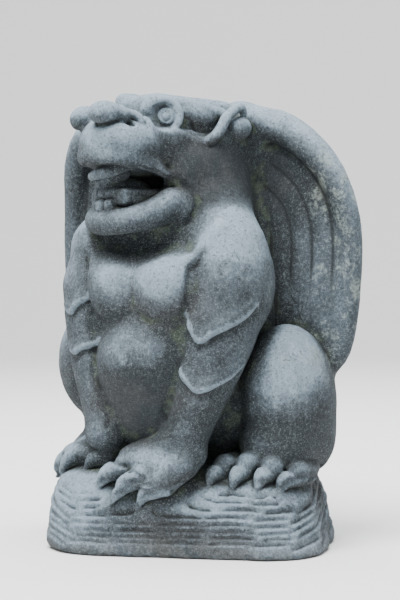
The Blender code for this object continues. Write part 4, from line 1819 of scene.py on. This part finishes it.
@dataclass(frozen=True)
class WeatheredStone:
    """Grey stone after years outdoors: speckled and pale where it is worn, with painted light on its upward
    faces and painted shade in its hollows, creases and undersides.

    Sizes are in metres. Lichen grows on the creature's left, from lichen_side out and from
    lichen_height up, and soil clings to the foot below soil_height.
    """

    name: str = "weathered_stone"
    deep: tuple[float, ...] = colour(25, 28, 30)
    dark: tuple[float, ...] = colour(37, 43, 47)
    body: tuple[float, ...] = colour(70, 80, 87)
    pale: tuple[float, ...] = colour(120, 136, 148)
    fleck: tuple[float, ...] = colour(136, 146, 150)
    rusty: tuple[float, ...] = colour(74, 70, 70)
    moss: tuple[float, ...] = colour(74, 86, 68)
    lichen: tuple[float, ...] = colour(146, 156, 146)
    soil: tuple[float, ...] = colour(90, 82, 70)
    grain_size: float = 0.0013
    grit_size: float = 0.0034
    pit_size: float = 0.0030
    streak_size: float = 0.011
    streak_length: float = 0.16
    cloud_size: float = 0.020
    patch_size: float = 0.080
    lichen_side: tuple[float, float] = (0.115, 0.155)
    lichen_height: tuple[float, float] = (0.17, 0.24)
    soil_height: tuple[float, float] = (0.030, 0.004)
    relief: float = 0.0020
    relief_strength: float = 0.85
    roughness: float = 0.74
    specular: float = 0.32

    def material(self) -> bpy.types.Material:
        """Makes the material, or gives it again."""
        found = bpy.data.materials.get(self.name)
        return found or self._made()

    def _made(self) -> bpy.types.Material:
        """Makes the material.

        Returns:
            The material.
        """
        material = bpy.data.materials.new(self.name)
        material.use_nodes = True
        material.node_tree.nodes.clear()
        graph = Graph(material.node_tree)
        place = graph.node("ShaderNodeTexCoord").out("Object")
        axes = graph.node("ShaderNodeSeparateXYZ", {}, {0: place})
        x, z = axes.out("X"), axes.out("Z")
        marks = ("crease", "edge", "hollow", "shade", "proud", "sky", "stain", "rubbed")
        crease, edge, hollow, shade, proud, sky, stain, rubbed = (graph.attribute(label) for label in marks)
        grain = graph.noise(place, self.grain_size, 3.0, 0.8)
        grit = graph.noise(place, self.grit_size, 3.0, 0.7)
        cloud = graph.noise(place, self.cloud_size, 4.0, 0.6)
        patch = graph.noise(place, self.patch_size, 3.0, 0.55)

        # how worn the stone is, together with painted sky light on upward faces, painted shade in hollows and
        # under overhangs, and the patches of stain and painted light, from dark to pale
        wear_and_painted_light = (sky * 1.35 - 0.1 + (cloud - 0.5) * 0.6 + (patch - 0.5) * 0.4 + (grit - 0.5) * 0.4
                - hollow * 0.4 - shade * 0.6 + proud * 0.25 + (stain - 0.5) * 1.2).held()
        tone = graph.node("ShaderNodeValToRGB", {"stops": (
            (0.05, self.dark), (0.45, self.body), (0.85, self.pale))}, {0: wear_and_painted_light}).out()
        tone = graph.mix(patch.band(0.5, 0.62) * (1 - wear_and_painted_light) * 0.22, tone, self.rusty)
        running = graph.node("ShaderNodeVectorMath", {"operation": "MULTIPLY"}, {
            0: place, 1: (1, 1, self.streak_length)}).out()
        streak = graph.noise(running, self.streak_size, 3.0, 0.6)

        # what grows and gathers on it
        green = (hollow + shade).band(0.25, 0.7) * cloud.band(0.46, 0.60) * 0.5
        tone = graph.mix(green, tone, self.moss)
        crust = (x.band(*self.lichen_side) * z.band(*self.lichen_height)
                 * (patch * 0.6 + cloud * 0.7 + grit * 0.5).band(0.9, 1.1))
        tone = graph.mix(crust * 0.5, tone, self.lichen)
        earth = z.band(*self.soil_height) * cloud.band(0.35, 0.62)
        tone = graph.mix(earth * 0.3, tone, self.soil)

        # rubbed edges, pits, flecks, painted shade in the creases and hollows, and the speckle of the grain
        # rubbed edges are painted paler still where the painted sky light falls on them
        rub_and_edge_light = (edge + proud * 0.5) * (sky * 0.8 + 0.25) + rubbed * 0.7 + (grit - 0.5) * 0.8
        tone = graph.mix(rub_and_edge_light.band(0.15, 0.8) * 0.7, tone, self.pale)
        pit = graph.noise(place, self.pit_size, 3.0, 0.7).band(0.44, 0.30) * 0.6
        tone = graph.mix(pit, tone, self.deep)
        fleck = (grain * 0.7 + grit * 0.3).band(0.47, 0.72) * (1 - wear_and_painted_light * 0.6) * (0.15 + stain * 0.7)
        tone = graph.mix(fleck, tone, self.fleck)
        # painted shade: creases and hollows darkened towards the deep colour
        painted_crease_shade = (crease + hollow * 0.3 + (grit - 0.5) * 0.4).band(0.22, 0.9) * 0.85
        tone = graph.mix(painted_crease_shade, tone, self.deep)
        # the speckle of the grain, a little darker in the painted shade under overhangs
        mottle = (0.02 + grain * 1.15 + grit * 0.80) * (1 - shade * 0.2) * (0.72 + streak * 0.56)
        tone = graph.mix(1.0, tone, graph.node("ShaderNodeCombineColor", {}, {
            0: mottle, 1: mottle, 2: mottle}).out(), "MULTIPLY")

        height = grit * 0.5 + grain * 0.35 + cloud * 0.9 - pit * 0.6
        bump = graph.node("ShaderNodeBump", {}, {
            "Strength": self.relief_strength, "Distance": self.relief, "Height": height})
        shader = graph.node("ShaderNodeBsdfPrincipled", {}, {
            "Base Color": tone, "Roughness": self.roughness + 0.2 * grit, "Normal": bump.out(),
            "Specular IOR Level": self.specular})
        graph.node("ShaderNodeOutputMaterial", {}, {"Surface": shader.out()})
        return material


WEATHERED_STONE = WeatheredStone()


# ---------------------------------------------------------------- the studio


def point_at(thing: bpy.types.Object, place: Vector, aim: Vector) -> None:
    """Puts a light or camera at a place and points it at another."""
    thing.location = place
    thing.rotation_euler = (aim - place).to_track_quat("-Z", "Y").to_euler()


@dataclass(frozen=True)
class Lamp:
    """A square soft light and what it points at."""

    name: str
    place: Point
    size: float
    power: float
    tint: tuple[float, float, float] = (1.0, 1.0, 1.0)
    aim: Point = (0.0, 0.0, 0.26)

    def hang(self) -> None:
        """Adds the light to the scene."""
        data = bpy.data.lights.new(self.name, "AREA")
        data.size = self.size
        data.energy = self.power
        data.color = self.tint
        point_at(in_scene(self.name, data), Vector(self.place), Vector(self.aim))


@dataclass
class Studio:
    """A pale floor that curves up all round, soft lights and the camera.

    The camera's place and aim are given on the creature's own axes, in metres, and foot is the middle
    of the carving's box on them, in millimetres.
    """

    radius: float = 6.0
    cove: float = 2.2
    rise: float = 3.2
    spokes: int = 96
    flat_rings: int = 4
    cove_rings: int = 12
    camera_place: Point = (0.9, -1.5588, 0.30)
    camera_aim: Point = (0.0098, 0.0057, 0.2675)
    foot: tuple[float, float] = (4.0, -27.0)
    lens: float = 95.64
    sensor: float = 36.0
    floor_colour: tuple[float, ...] = (0.83, 0.83, 0.83, 1.0)
    floor_roughness: float = 0.9
    sky_colour: tuple[float, ...] = (0.95, 0.97, 1.0, 1.0)
    sky_strength: float = 0.45
    lamps: Sequence[Lamp] = (
        Lamp("key", (-0.15, -1.35, 2.75), 1.7, 180.0, (1.0, 0.995, 0.98)),
        Lamp("top", (0.1, -0.2, 2.7), 2.0, 82.0, (0.97, 0.99, 1.0)),
        Lamp("backdrop", (-0.2, 1.2, 2.9), 2.5, 160.0, (1.0, 1.0, 1.0), (-1.9, 4.2, 0.3)),
    )

    def set_up(self) -> None:
        """Makes the floor, the lights and the camera."""
        self.floor()
        for lamp in self.lamps:
            lamp.hang()
        world = bpy.data.worlds.new("pale_room")
        world.use_nodes = True
        sky = world.node_tree.nodes["Background"]
        sky.inputs["Color"].default_value = self.sky_colour
        sky.inputs["Strength"].default_value = self.sky_strength
        bpy.context.scene.world = world
        self.camera()

    def floor(self) -> bpy.types.Object:
        """Makes the floor.

        Returns:
            The floor's object.
        """
        flat = self.radius - self.cove
        profile = [(flat * step / self.flat_rings, 0.0) for step in range(1, self.flat_rings + 1)]
        for step in range(1, self.cove_rings + 1):
            angle = math.pi / 2 * step / self.cove_rings
            profile.append((flat + self.cove * math.sin(angle), self.cove * (1 - math.cos(angle))))
        profile.append((self.radius, self.rise))
        rings = bmesh.new()
        middle = rings.verts.new((0, 0, 0))
        last = None
        for radius, height in profile:
            ring = [rings.verts.new((radius * math.cos(turn), radius * math.sin(turn), height))
                    for turn in (2 * math.pi * spoke / self.spokes for spoke in range(self.spokes))]
            for spoke in range(self.spokes):
                following = (spoke + 1) % self.spokes
                if last:
                    rings.faces.new((last[spoke], ring[spoke], ring[following], last[following]))
                else:
                    rings.faces.new((middle, ring[spoke], ring[following]))
            last = ring
        mesh = bpy.data.meshes.new("floor")
        rings.to_mesh(mesh)
        rings.free()
        mesh.polygons.foreach_set("use_smooth", [True] * len(mesh.polygons))
        material = bpy.data.materials.new("pale_floor")
        material.use_nodes = True
        shader = material.node_tree.nodes["Principled BSDF"]
        shader.inputs["Base Color"].default_value = self.floor_colour
        shader.inputs["Roughness"].default_value = self.floor_roughness
        mesh.materials.append(material)
        return in_scene("floor", mesh)

    def camera(self) -> None:
        """Places the camera."""
        data = bpy.data.cameras.new("camera")
        data.lens = self.lens
        data.sensor_width = self.sensor
        data.sensor_height = self.sensor
        data.sensor_fit = "VERTICAL"
        camera = in_scene("camera", data)
        foot = Vector((*self.foot, 0)) * MM
        point_at(camera, Vector(self.camera_place) - foot, Vector(self.camera_aim) - foot)
        bpy.context.scene.camera = camera


def main() -> None:
    """Builds the studio and the carving, and hands the piece to the frame."""
    logging.basicConfig(level=logging.INFO, format="%(name)s: %(message)s")
    Studio().set_up()
    stone = Sculpture().build()
    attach(stone, "root")
    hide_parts("gargoyle")
    log.info("%s: %d triangles", stone.name, sum(len(face.vertices) - 2 for face in stone.data.polygons))


if __name__ == "__main__":
    main()
